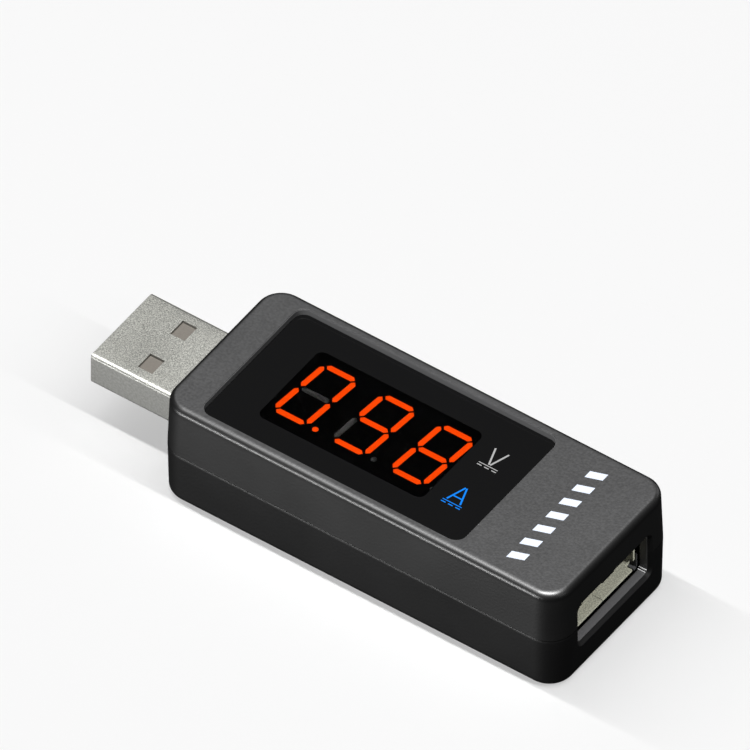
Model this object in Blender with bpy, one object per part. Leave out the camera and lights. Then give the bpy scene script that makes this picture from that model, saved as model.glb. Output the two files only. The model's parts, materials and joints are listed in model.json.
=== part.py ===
"""USB power meter: a plug-through voltage and current meter in a two-part moulded housing.

Run it with: blender --background --python part.py
Metres, +Z up. The origin is the centre of the footprint on the surface that the meter lies on.
+X points from the plug to the socket, and +Y to the top of the digits.
"""

import math

import bmesh
import bpy
from mathutils import Vector

MM = 0.001
GAP = 0.05 * MM  # assembly clearance between pieces that rest on each other

# Housing, measured at the parting line, where the moulded walls are widest.
PLUG_OUT = 12.9 * MM
HOUSING_LENGTH = 55.2 * MM
HOUSING_WIDTH = 23.0 * MM
HOUSING_HEIGHT = 14.8 * MM
CORNER_RADIUS = 3.3 * MM
WALL = 1.5 * MM
TOP_DRAFT = 0.25 * MM
TOP_FILLET = 0.9 * MM
BOTTOM_DRAFT = 0.16 * MM
BOTTOM_FILLET = 1.0 * MM

OVERALL_LENGTH = PLUG_OUT + HOUSING_LENGTH
TIP_X = -OVERALL_LENGTH / 2
HOUSING_X0 = TIP_X + PLUG_OUT
HOUSING_X1 = OVERALL_LENGTH / 2
HOUSING_MID_X = (HOUSING_X0 + HOUSING_X1) / 2
PARTING_Z = HOUSING_HEIGHT / 2  # also the axis height of the plug and the socket
TOP_Z = HOUSING_HEIGHT
CEILING_Z = TOP_Z - 2.4 * MM
FLOOR_Z = WALL
LIP_HEIGHT = 0.8 * MM
LIP_THICKNESS = 0.7 * MM

# Display window, let into the top.
WINDOW_LENGTH = 36.0 * MM
WINDOW_WIDTH = 19.9 * MM
WINDOW_MID_X = 1.56 * MM
WINDOW_RADIUS = 1.5 * MM
WINDOW_SINK = 0.8 * MM
WINDOW_THICKNESS = 0.3 * MM
TAPE_THICKNESS = 0.15 * MM
WINDOW_TOP = TOP_Z - WINDOW_SINK
WINDOW_UNDERSIDE = WINDOW_TOP - WINDOW_THICKNESS
SEAT_Z = WINDOW_UNDERSIDE - TAPE_THICKNESS
LEDGE_X = (-13.6 * MM, 17.8 * MM)
LEDGE_HALF_WIDTH = 8.3 * MM

# Main board, under the plug, the display and the socket.
BOARD_TOP = PARTING_Z - 2.8 * MM
BOARD_THICKNESS = 1.2 * MM
BOARD_BOTTOM = BOARD_TOP - BOARD_THICKNESS
BOARD_X = (-19.0 * MM, 31.8 * MM)
BOARD_HALF_WIDTH = 9.4 * MM
POST_PLACES = [(x * MM, y * MM) for x in (-17.0, 20.6) for y in (-8.2, 8.2)]
POST_RADIUS = 1.4 * MM
PEG_RADIUS = 0.65 * MM

# Three-digit LED display.
DISPLAY_X = (-11.5 * MM, 12.9 * MM)
DISPLAY_HALF_WIDTH = 7.0 * MM
DISPLAY_TOP = WINDOW_UNDERSIDE - GAP
DISPLAY_HEIGHT = 8.0 * MM
DISPLAY_BOTTOM = DISPLAY_TOP - DISPLAY_HEIGHT
DISPLAY_FACE = 1.2 * MM
DISPLAY_WALL = 0.8 * MM
DIGIT_PITCH = 8.065 * MM
DIGIT_MIDDLE = Vector((0.49 * MM, 0.36 * MM))
DIGIT_WIDTH = 4.32 * MM
DIGIT_HEIGHT = 8.75 * MM
DIGIT_SLANT = 0.0903  # how far each digit leans, as a share of its height
SEGMENT_WIDTH = 0.78 * MM
SEGMENT_GAP = 0.16 * MM
POINT_RADIUS = 0.40 * MM
POINT_SHIFT = Vector((1.31 * MM, 0.0))
BAR_SINK = 0.02 * MM  # how far the bars' faces lie below the display's
BAR_CLEARANCE = 0.03 * MM
GUIDE_LIFT = 1.0 * MM  # room for the display's own board under its light guide
PIN_PITCH = 2.54 * MM
PIN_ROW_Y = 5.08 * MM
PIN_RADIUS = 0.25 * MM

# Type A plug.
PLUG_WIDTH = 12.0 * MM
PLUG_HEIGHT = 4.5 * MM
PLUG_LENGTH = 18.75 * MM
PLUG_SHEET = 0.3 * MM
CORNER_FIT = 0.3 * MM  # corner radius of a block that fills a folded shell
PLUG_HOLE_X = (5.35 * MM, 7.35 * MM)
PLUG_HOLE_Y = (1.9 * MM, 4.4 * MM)
CONTACT_YS = [y * MM for y in (-3.5, -1.0, 1.0, 3.5)]
CONTACT_WIDTH = 1.0 * MM
CONTACT_SHEET = 0.2 * MM

# Type A socket, behind the opening in the end wall.
MOUTH_HALF_WIDTH = 6.85 * MM
MOUTH_HALF_HEIGHT = 3.05 * MM
MOUTH_RADIUS = 0.75 * MM
MOUTH_CHAMFER = 0.5 * MM
SOCKET_HALF_WIDTH = 6.55 * MM
SOCKET_HALF_HEIGHT = 2.75 * MM
SOCKET_SHEET = 0.3 * MM
SOCKET_LIP_X = HOUSING_X1 - 1.78 * MM
SOCKET_FRONT_X = HOUSING_X1 - 2.7 * MM
SOCKET_BACK_X = SOCKET_FRONT_X - 11.5 * MM
TONGUE_FRONT_X = SOCKET_FRONT_X - 0.9 * MM
TONGUE_ROOT_X = SOCKET_BACK_X + 4.0 * MM
TONGUE_Z = (PARTING_Z + 0.06 * MM, PARTING_Z + 1.9 * MM)
FINGER_YS = (-3.15 * MM, 3.15 * MM)
FINGER_ROOT_X = SOCKET_FRONT_X - 5.9 * MM
FINGER_LENGTH = 5.0 * MM
FINGER_WIDTH = 2.0 * MM
FINGER_THICKNESS = 0.25 * MM
FINGER_WALL_Z = SOCKET_HALF_HEIGHT - SOCKET_SHEET / 2  # the shell's mid-sheet, from the axis
CONTACT_ROOT_X = TONGUE_ROOT_X + 0.15 * MM
CONTACT_ROOT_Z = PARTING_Z + 0.1 * MM

# Mounting legs and contact tails, soldered into the main board.
LEG_LENGTH = 1.4 * MM
LEG_DEPTH = 0.6 * MM
TAIL_DROP = 0.9 * MM
TAIL_DEPTH = 0.8 * MM
PLUG_LEG_X = TIP_X + 16.6 * MM
SOCKET_LEG_X = SOCKET_BACK_X + 3.0 * MM

# Two lamps beside the display, which light the unit signs.
INDICATOR_X = 15.0 * MM
INDICATOR_Y = 3.5 * MM
INDICATOR_SIZE = (1.2 * MM, 2.0 * MM, 0.8 * MM)
SHROUD_X = (13.3 * MM, 17.3 * MM)
SHROUD_HALF_WIDTH = 6.4 * MM
SHROUD_WALL = 0.5 * MM
CELL_HALF_WIDTH = 2.3 * MM

METER = bpy.data.collections.new("usb_power_meter")
CUTTERS = bpy.data.collections.new("cutters")


def clear_scene():
    for old in list(bpy.data.objects):
        bpy.data.objects.remove(old, do_unlink=True)
    bpy.context.scene.collection.children.link(METER)
    bpy.context.scene.collection.children.link(CUTTERS)


def material(name, colour, roughness, metallic=0.0):
    made = bpy.data.materials.new(name)
    made.use_nodes = True
    shader = made.node_tree.nodes["Principled BSDF"]
    shader.inputs["Base Color"].default_value = (*colour, 1.0)
    shader.inputs["Roughness"].default_value = roughness
    shader.inputs["Metallic"].default_value = metallic
    made.diffuse_color = (*colour, 1.0)
    return made


def place(name, mesh, finish):
    """Puts a mesh in the meter's collection, or among the cutters where it has no finish."""
    made = bpy.data.objects.new(name, mesh)
    if finish is None:
        CUTTERS.objects.link(made)
        made.hide_render = True
        made.display_type = "WIRE"
    else:
        METER.objects.link(made)
        mesh.materials.append(finish)
    return made


def edges_along(bm, axis):
    """The straight edges that run along one axis, 0 for X to 2 for Z, tapered ones included."""
    found = []
    for edge in bm.edges:
        run = edge.verts[1].co - edge.verts[0].co
        if abs(run[axis]) > 0.9 * run.length:
            found.append(edge)
    return found


def rim_edges(bm, z):
    return [e for e in bm.edges if all(abs(v.co.z - z) < 1e-7 for v in e.verts)]


def block(name, low, high, finish=None, round_axis=None, radius=0.0, segments=4, draft=0.0, rim=0.0):
    """A box between two corners. It can have round edges along one axis, and a drafted, filleted far end.

    The far end is the top of a box made from low to high, or its bottom where low is above high.
    """
    low, high = Vector(low), Vector(high)
    middle, size = (low + high) / 2, high - low
    bm = bmesh.new()
    bmesh.ops.create_cube(bm, size=1.0)
    bmesh.ops.scale(bm, vec=[abs(side) for side in size], verts=bm.verts)
    far_z = size.z / 2
    for vert in bm.verts:
        if draft and vert.co.z * far_z > 0:
            vert.co.x -= math.copysign(draft, vert.co.x)
            vert.co.y -= math.copysign(draft, vert.co.y)
    if radius:
        bmesh.ops.bevel(
            bm,
            geom=edges_along(bm, round_axis),
            offset=radius,
            segments=segments,
            affect="EDGES",
            profile=0.5,
        )
    if rim:
        bmesh.ops.bevel(bm, geom=rim_edges(bm, far_z), offset=rim, segments=4, affect="EDGES", profile=0.5)
    bmesh.ops.recalc_face_normals(bm, faces=bm.faces)
    mesh = bpy.data.meshes.new(name)
    bm.to_mesh(mesh)
    bm.free()
    mesh.shade_smooth()
    mesh.set_sharp_from_angle(angle=math.radians(35))
    made = place(name, mesh, finish)
    made.location = middle
    return made


def rod(name, x, y, z0, z1, radius, finish=None, sides=16):
    """An upright round bar."""
    bm = bmesh.new()
    bmesh.ops.create_cone(bm, cap_ends=True, segments=sides, radius1=radius, radius2=radius, depth=z1 - z0)
    mesh = bpy.data.meshes.new(name)
    bm.to_mesh(mesh)
    bm.free()
    made = place(name, mesh, finish)
    made.location = (x, y, (z0 + z1) / 2)
    return made


def plate(name, outlines, centre, thickness, finish=None, upright=False):
    """Flat outlines given thickness. They lie in XY or, upright, in XZ with the thickness along Y."""
    curve = bpy.data.curves.new(name, "CURVE")
    curve.dimensions = "2D"
    curve.fill_mode = "BOTH"
    curve.extrude = thickness / 2
    for outline in outlines:
        spline = curve.splines.new("POLY")
        spline.points.add(len(outline) - 1)
        for point, (a, b) in zip(spline.points, outline):
            point.co = (a, b, 0.0, 1.0)
        spline.use_cyclic_u = True
    guide = bpy.data.objects.new(name + "_curve", curve)
    METER.objects.link(guide)
    guide.location = centre
    if upright:
        guide.rotation_euler = (math.pi / 2, 0.0, 0.0)
    graph = bpy.context.evaluated_depsgraph_get()
    mesh = bpy.data.meshes.new_from_object(guide.evaluated_get(graph))
    bm = bmesh.new()
    bm.from_mesh(mesh)
    bmesh.ops.remove_doubles(bm, verts=bm.verts, dist=0.001 * MM)
    bmesh.ops.recalc_face_normals(bm, faces=bm.faces)
    bm.to_mesh(mesh)
    bm.free()
    mesh.materials.clear()
    made = place(name, mesh, finish)
    made.matrix_world = guide.matrix_world.copy()
    bpy.data.objects.remove(guide)
    return made


def boolean(target, tool, operation):
    """Cuts or joins tool into target. The tool becomes a hidden helper."""
    step = target.modifiers.new(tool.name, "BOOLEAN")
    step.operation = operation
    step.solver = "EXACT"
    step.object = tool


def cut(target, *tools):
    for tool in tools:
        boolean(target, tool, "DIFFERENCE")


def join(target, *tools):
    for tool in tools:
        boolean(target, tool, "UNION")


def strip_outline(path, thickness):
    """The closed outline of a bent strip that follows path, a list of (x, z) points."""
    points = [Vector(p) for p in path]
    sides = ([], [])
    for i, point in enumerate(points):
        before = (point - points[i - 1]).normalized() if i else None
        after = (points[i + 1] - point).normalized() if i + 1 < len(points) else None
        ways = [way for way in (before, after) if way is not None]
        tangent = sum(ways, Vector((0.0, 0.0))).normalized()
        normal = Vector((-tangent.y, tangent.x))
        reach = thickness / 2 / max(0.5, tangent.dot(ways[0]))
        sides[0].append(point + normal * reach)
        sides[1].append(point - normal * reach)
    return sides[0] + sides[1][::-1]


def strip(name, path, origin, width, thickness, finish):
    """A bent strip. Its path's (x, z) points start from its origin, which is its hinge where it bends."""
    return plate(name, [strip_outline(path, thickness)], origin, width, finish, upright=True)


# ---- Housing ----------------------------------------------------------------------------------


def housing_half(name, far_z, draft, fillet, finish):
    """The outside of one housing half, from the parting line to its outer face."""
    half_length, half_width = HOUSING_LENGTH / 2, HOUSING_WIDTH / 2
    return block(
        name,
        (HOUSING_MID_X - half_length, -half_width, PARTING_Z),
        (HOUSING_MID_X + half_length, half_width, far_z),
        finish,
        round_axis=2,
        radius=CORNER_RADIUS,
        segments=8,
        draft=draft,
        rim=fillet,
    )


def inner_block(name, inset, z0, z1, draft=0.0):
    """A cutter that follows the housing's outline, inset from it at the parting line."""
    half_length, half_width = HOUSING_LENGTH / 2 - inset, HOUSING_WIDTH / 2 - inset
    return block(
        name,
        (HOUSING_MID_X - half_length, -half_width, z0),
        (HOUSING_MID_X + half_length, half_width, z1),
        round_axis=2,
        radius=max(CORNER_RADIUS - inset, 0.8 * MM),
        segments=6,
        draft=draft,
    )


def end_openings(prefix):
    """Cutters for the plug's slot and for the socket's chamfered mouth."""
    slot_half_width = PLUG_WIDTH / 2 + GAP
    slot_half_height = PLUG_HEIGHT / 2 + GAP
    slot = block(
        prefix + "_plug_slot",
        (HOUSING_X0 - MM, -slot_half_width, PARTING_Z - slot_half_height),
        (HOUSING_X0 + 2.5 * MM, slot_half_width, PARTING_Z + slot_half_height),
        round_axis=0,
        radius=0.5 * MM,
    )
    mouth = block(
        prefix + "_socket_mouth",
        (HOUSING_X1 - 2.5 * MM, -MOUTH_HALF_WIDTH, PARTING_Z - MOUTH_HALF_HEIGHT),
        (HOUSING_X1 + MM, MOUTH_HALF_WIDTH, PARTING_Z + MOUTH_HALF_HEIGHT),
        round_axis=0,
        radius=MOUTH_RADIUS,
    )
    return slot, mouth, mouth_chamfer(prefix)


def mouth_chamfer(prefix):
    """A flared cutter: as wide as the mouth at the chamfer's depth, and wider outwards at 45 degrees."""
    depth = MOUTH_CHAMFER
    flare = block(
        prefix + "_mouth_chamfer",
        (HOUSING_X1 - depth, -MOUTH_HALF_WIDTH, PARTING_Z - MOUTH_HALF_HEIGHT),
        (HOUSING_X1 + depth, MOUTH_HALF_WIDTH, PARTING_Z + MOUTH_HALF_HEIGHT),
        round_axis=0,
        radius=MOUTH_RADIUS,
    )
    for vert in flare.data.vertices:
        if vert.co.x > 0:
            vert.co.y += math.copysign(2 * depth, vert.co.y)
            vert.co.z += math.copysign(2 * depth, vert.co.z)
    return flare


def make_top_shell(finish):
    shell = housing_half("top_shell", TOP_Z, TOP_DRAFT, TOP_FILLET, finish)
    cut(shell, inner_block("top_cavity", WALL, PARTING_Z - MM, CEILING_Z, TOP_DRAFT))
    rebate_inset = WALL - LIP_THICKNESS - GAP
    cut(shell, inner_block("lip_rebate", rebate_inset, PARTING_Z - MM, PARTING_Z + LIP_HEIGHT + GAP))
    window_low = WINDOW_MID_X - WINDOW_LENGTH / 2
    window_high = WINDOW_MID_X + WINDOW_LENGTH / 2
    recess = block(
        "window_recess",
        (window_low, -WINDOW_WIDTH / 2, SEAT_Z),
        (window_high, WINDOW_WIDTH / 2, TOP_Z + MM),
        round_axis=2,
        radius=WINDOW_RADIUS,
        segments=6,
    )
    opening = block(
        "window_opening",
        (LEDGE_X[0], -LEDGE_HALF_WIDTH, CEILING_Z - MM),
        (LEDGE_X[1], LEDGE_HALF_WIDTH, SEAT_Z + 0.2 * MM),
        round_axis=2,
        radius=MM,
    )
    cut(shell, recess, opening)
    for n, (x, y) in enumerate(POST_PLACES):
        sleeve = rod(f"top_sleeve_{n}", x, y, BOARD_TOP + GAP, CEILING_Z + 0.4 * MM, POST_RADIUS)
        bore = rod(f"top_bore_{n}", x, y, BOARD_TOP - MM, CEILING_Z - MM, PEG_RADIUS + 0.15 * MM)
        join(shell, sleeve)
        cut(shell, bore)
    cut(shell, *end_openings("top"))


def make_bottom_shell(finish):
    shell = housing_half("bottom_shell", 0.0, BOTTOM_DRAFT, BOTTOM_FILLET, finish)
    lip_top = PARTING_Z + LIP_HEIGHT
    lip = inner_block("lip_outside", WALL - LIP_THICKNESS, PARTING_Z - 0.5 * MM, lip_top)
    join(shell, lip)
    cut(shell, inner_block("bottom_cavity", WALL, lip_top + MM, FLOOR_Z, BOTTOM_DRAFT))
    for n, (x, y) in enumerate(POST_PLACES):
        post = rod(f"post_{n}", x, y, FLOOR_Z - 0.4 * MM, BOARD_BOTTOM - GAP, POST_RADIUS)
        peg = rod(f"peg_{n}", x, y, FLOOR_Z, BOARD_TOP + 1.5 * MM, PEG_RADIUS)
        join(shell, post, peg)
    cut(shell, *end_openings("bottom"))


def make_window(window_finish, tape_finish):
    low = WINDOW_MID_X - WINDOW_LENGTH / 2 + 0.08 * MM
    high = WINDOW_MID_X + WINDOW_LENGTH / 2 - 0.08 * MM
    half_width = WINDOW_WIDTH / 2 - 0.08 * MM
    corner = WINDOW_RADIUS - 0.08 * MM
    block(
        "display_window",
        (low, -half_width, WINDOW_UNDERSIDE),
        (high, half_width, WINDOW_TOP),
        window_finish,
        round_axis=2,
        radius=corner,
        segments=6,
    )
    tape_gap = 0.02 * MM
    tape = block(
        "window_tape",
        (low, -half_width, SEAT_Z + tape_gap),
        (high, half_width, WINDOW_UNDERSIDE - tape_gap),
        tape_finish,
        round_axis=2,
        radius=corner,
        segments=4,
    )
    cut(
        tape,
        block(
            "tape_opening",
            (LEDGE_X[0], -LEDGE_HALF_WIDTH, SEAT_Z - MM),
            (LEDGE_X[1], LEDGE_HALF_WIDTH, WINDOW_TOP),
            round_axis=2,
            radius=MM,
        ),
    )


# ---- Display ----------------------------------------------------------------------------------


def bar_outline(start, end, width, gap):
    """A six-sided bar between two corner points, with pointed ends that stop short of them."""
    along = (end - start).normalized()
    across = Vector((-along.y, along.x)) * width / 2
    start, end = start + along * gap, end - along * gap
    shoulder = along * width / 2
    near = [start, start + shoulder - across, end - shoulder - across]
    far = [end, end - shoulder + across, start + shoulder + across]
    return near + far


def segment_outlines(shrink=0.0):
    """The seven bars and the point of each of the three digits, in the order a to g, then the point."""
    outlines = []
    for n in range(3):
        middle = DIGIT_MIDDLE + Vector(((n - 1) * DIGIT_PITCH, 0.0))
        corner = {}
        for row, up in (("top", 0.5), ("middle", 0.0), ("bottom", -0.5)):
            y = up * DIGIT_HEIGHT
            for side, across in (("left", -0.5), ("right", 0.5)):
                corner[row, side] = middle + Vector((across * DIGIT_WIDTH + y * DIGIT_SLANT, y))
        ends = [
            (("top", "left"), ("top", "right")),
            (("top", "right"), ("middle", "right")),
            (("middle", "right"), ("bottom", "right")),
            (("bottom", "left"), ("bottom", "right")),
            (("middle", "left"), ("bottom", "left")),
            (("top", "left"), ("middle", "left")),
            (("middle", "left"), ("middle", "right")),
        ]
        for a, b in ends:
            gap = SEGMENT_GAP + shrink
            outlines.append(bar_outline(corner[a], corner[b], SEGMENT_WIDTH - 2 * shrink, gap))
        point = corner["bottom", "right"] + POINT_SHIFT
        radius = POINT_RADIUS - shrink
        turns = [2 * math.pi * k / 12 for k in range(12)]
        outlines.append([point + radius * Vector((math.cos(t), math.sin(t))) for t in turns])
    return outlines


def make_display(case_finish, guide_finish, board_finish, pin_finish):
    case = block(
        "display_case",
        (DISPLAY_X[0], -DISPLAY_HALF_WIDTH, DISPLAY_BOTTOM),
        (DISPLAY_X[1], DISPLAY_HALF_WIDTH, DISPLAY_TOP),
        case_finish,
    )
    inside_top = DISPLAY_TOP - DISPLAY_FACE
    inside = block(
        "display_inside",
        (DISPLAY_X[0] + DISPLAY_WALL, -DISPLAY_HALF_WIDTH + DISPLAY_WALL, DISPLAY_BOTTOM - MM),
        (DISPLAY_X[1] - DISPLAY_WALL, DISPLAY_HALF_WIDTH - DISPLAY_WALL, inside_top),
    )
    cut(case, inside)
    slots_at = (0, 0, DISPLAY_TOP - DISPLAY_FACE / 2)
    slots = plate("segment_slots", segment_outlines(), slots_at, 2 * DISPLAY_FACE)
    cut(case, slots)
    foot = 1.6 * MM
    for n, (sx, sy) in enumerate(((0, -1), (0, 1), (1, -1), (1, 1))):
        x = DISPLAY_X[0] + foot / 2 if sx == 0 else DISPLAY_X[1] - foot / 2
        y = sy * (DISPLAY_HALF_WIDTH - DISPLAY_WALL / 2)
        half_y = DISPLAY_WALL / 2
        stand = block(
            f"display_foot_{n}",
            (x - foot / 2, y - half_y, BOARD_TOP + GAP),
            (x + foot / 2, y + half_y, DISPLAY_BOTTOM + 0.5 * MM),
        )
        join(case, stand)

    clear = DISPLAY_WALL + GAP
    guide_bottom = DISPLAY_BOTTOM + GUIDE_LIFT
    guide = block(
        "display_light_guide",
        (DISPLAY_X[0] + clear, -DISPLAY_HALF_WIDTH + clear, guide_bottom),
        (DISPLAY_X[1] - clear, DISPLAY_HALF_WIDTH - clear, inside_top - GAP),
        guide_finish,
    )
    bar_depth = DISPLAY_FACE + 0.4 * MM
    bar_middle = DISPLAY_TOP - BAR_SINK - bar_depth / 2
    join(guide, plate("segment_bars", segment_outlines(BAR_CLEARANCE), (0, 0, bar_middle), bar_depth))

    board_low = DISPLAY_BOTTOM
    board = block(
        "display_board",
        (DISPLAY_X[0] + clear, -DISPLAY_HALF_WIDTH + clear, board_low),
        (DISPLAY_X[1] - clear, DISPLAY_HALF_WIDTH - clear, guide_bottom - GAP),
        board_finish,
    )
    for n in range(12):
        x = (DISPLAY_X[0] + DISPLAY_X[1]) / 2 + (n % 6 - 2.5) * PIN_PITCH
        y = PIN_ROW_Y if n < 6 else -PIN_ROW_Y
        hole_bottom = board_low - MM
        hole_top = guide_bottom + MM
        cut(board, rod(f"pin_hole_{n}", x, y, hole_bottom, hole_top, PIN_RADIUS + GAP, sides=12))
        name = f"display_pin_{n + 1:02d}"
        pin_bottom = BOARD_BOTTOM - TAIL_DEPTH
        pin_top = guide_bottom - 2 * GAP
        rod(name, x, y, pin_bottom, pin_top, PIN_RADIUS, pin_finish, sides=8)


# ---- Boards and components --------------------------------------------------------------------


def make_main_board(finish):
    board = block(
        "main_board",
        (BOARD_X[0], -BOARD_HALF_WIDTH, BOARD_BOTTOM),
        (BOARD_X[1], BOARD_HALF_WIDTH, BOARD_TOP),
        finish,
        round_axis=2,
        radius=MM,
    )
    holes = [(x, y, PEG_RADIUS + 0.15 * MM) for x, y in POST_PLACES]
    for n in range(12):
        x = (DISPLAY_X[0] + DISPLAY_X[1]) / 2 + (n % 6 - 2.5) * PIN_PITCH
        holes.append((x, PIN_ROW_Y if n < 6 else -PIN_ROW_Y, PIN_RADIUS + 0.15 * MM))
    for y in CONTACT_YS:
        holes.append((SOCKET_BACK_X + TAIL_DROP, y, 0.75 * MM))
    for n, (x, y, radius) in enumerate(holes):
        cut(board, rod(f"board_hole_{n}", x, y, BOARD_BOTTOM - MM, BOARD_TOP + MM, radius, sides=12))
    for name, x, y in leg_places():
        slot = block(
            f"{name}_slot",
            (x - 0.2 * MM, y - 0.35 * MM, BOARD_BOTTOM - MM),
            (x + LEG_LENGTH + 0.2 * MM, y + 0.35 * MM, BOARD_TOP + MM),
        )
        cut(board, slot)
    for n, y in enumerate(FINGER_YS):
        half = FINGER_WIDTH / 2 + 0.4 * MM
        relief = block(
            f"finger_relief_{n}",
            (FINGER_ROOT_X - 0.5 * MM, y - half, BOARD_BOTTOM - MM),
            (BOARD_X[1] + MM, y + half, BOARD_TOP + MM),
        )
        cut(board, relief)


def leg_places():
    """The shells' mounting legs: a name, the leg's low x, and the middle of its sheet in y."""
    plug_y = PLUG_WIDTH / 2 - PLUG_SHEET / 2
    socket_y = SOCKET_HALF_WIDTH - SOCKET_SHEET / 2
    return [
        ("plug_leg_left", PLUG_LEG_X, -plug_y),
        ("plug_leg_right", PLUG_LEG_X, plug_y),
        ("socket_leg_left", SOCKET_LEG_X, -socket_y),
        ("socket_leg_right", SOCKET_LEG_X, socket_y),
    ]


def leg(name, sheet, top):
    """One mounting leg, which runs from the shell's side down through the board."""
    x, y = next((x, y) for known, x, y in leg_places() if known == name)
    half = sheet / 2
    return block(name, (x, y - half, BOARD_BOTTOM - LEG_DEPTH), (x + LEG_LENGTH, y + half, top))


def make_chip(name, x, y, length, width, height, leads, finish):
    """A small-outline chip under the board: its body, and gull-wing leads along both long sides."""
    top = BOARD_BOTTOM - 0.15 * MM
    low, high = (x - length / 2, y - width / 2, top - height), (x + length / 2, y + width / 2, top)
    chip = block(name, low, high, finish)
    lead_width, reach = 0.4 * MM, 0.9 * MM
    middle_z = top - height / 2
    for side in (-1, 1):
        edge = y + side * width / 2
        path = [(edge - side * 0.3 * MM, middle_z), (edge + side * 0.45 * MM, middle_z)]
        path += [(edge + side * 0.5 * MM, top), (edge + side * reach, top)]
        outline = strip_outline(path, 0.15 * MM)
        for n in range(leads):
            lead_x = x + (n - (leads - 1) / 2) * 1.27 * MM
            lead = plate(f"{name}_lead_{side}_{n}", [outline], (lead_x, 0, 0), lead_width, upright=True)
            lead.rotation_euler = (math.pi / 2, 0.0, math.pi / 2)
            join(chip, lead)


def make_components(finishes):
    make_chip("microcontroller", -2.0 * MM, 0.0, 9.9 * MM, 3.9 * MM, 1.35 * MM, 7, finishes["chip"])
    up = BOARD_TOP + GAP
    down = BOARD_BOTTOM - GAP
    length, width, height = INDICATOR_SIZE
    for name, y in (("indicator_led_volts", INDICATOR_Y), ("indicator_led_amps", -INDICATOR_Y)):
        low = (INDICATOR_X - length / 2, y - width / 2, up)
        block(name, low, (INDICATOR_X + length / 2, y + width / 2, up + height), finishes["led"])
    under = [
        ("shunt_resistor", 9.0, 0.0, 3.2, 6.4, 0.7, "resistor"),
        ("voltage_regulator", -13.0, 3.5, 2.5, 4.5, 1.4, "chip"),
        ("input_capacitor", -13.0, -3.4, 2.6, 3.4, 1.5, "capacitor"),
        ("output_capacitor", 14.0, 6.2, 2.6, 3.4, 1.5, "capacitor"),
        ("divider_resistor_1", -9.6, 3.0, 1.2, 2.0, 0.5, "resistor"),
        ("divider_resistor_2", -9.6, 0.0, 1.2, 2.0, 0.5, "resistor"),
        ("filter_capacitor_1", -9.6, -3.0, 1.2, 2.0, 0.9, "capacitor"),
        ("filter_capacitor_2", 13.5, 0.0, 1.2, 2.0, 0.9, "capacitor"),
        ("series_resistor", 13.5, -4.0, 1.2, 2.0, 0.5, "resistor"),
    ]
    for name, x, y, length, width, height, finish in under:
        low = ((x - length / 2) * MM, (y - width / 2) * MM, down - height * MM)
        high = ((x + length / 2) * MM, (y + width / 2) * MM, down)
        block(name, low, high, finishes[finish])


def make_indicator_shroud(finish):
    """A black box that keeps the two unit lamps apart, with one open cell over each."""
    shroud = block(
        "indicator_shroud",
        (SHROUD_X[0], -SHROUD_HALF_WIDTH, BOARD_TOP + GAP),
        (SHROUD_X[1], SHROUD_HALF_WIDTH, DISPLAY_TOP),
        finish,
    )
    for n, y in enumerate((-INDICATOR_Y, INDICATOR_Y)):
        cell = block(
            f"indicator_cell_{n}",
            (SHROUD_X[0] + SHROUD_WALL, y - CELL_HALF_WIDTH, BOARD_TOP - MM),
            (SHROUD_X[1] - SHROUD_WALL, y + CELL_HALF_WIDTH, DISPLAY_TOP + MM),
        )
        cut(shroud, cell)


# ---- Plug -------------------------------------------------------------------------------------


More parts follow.
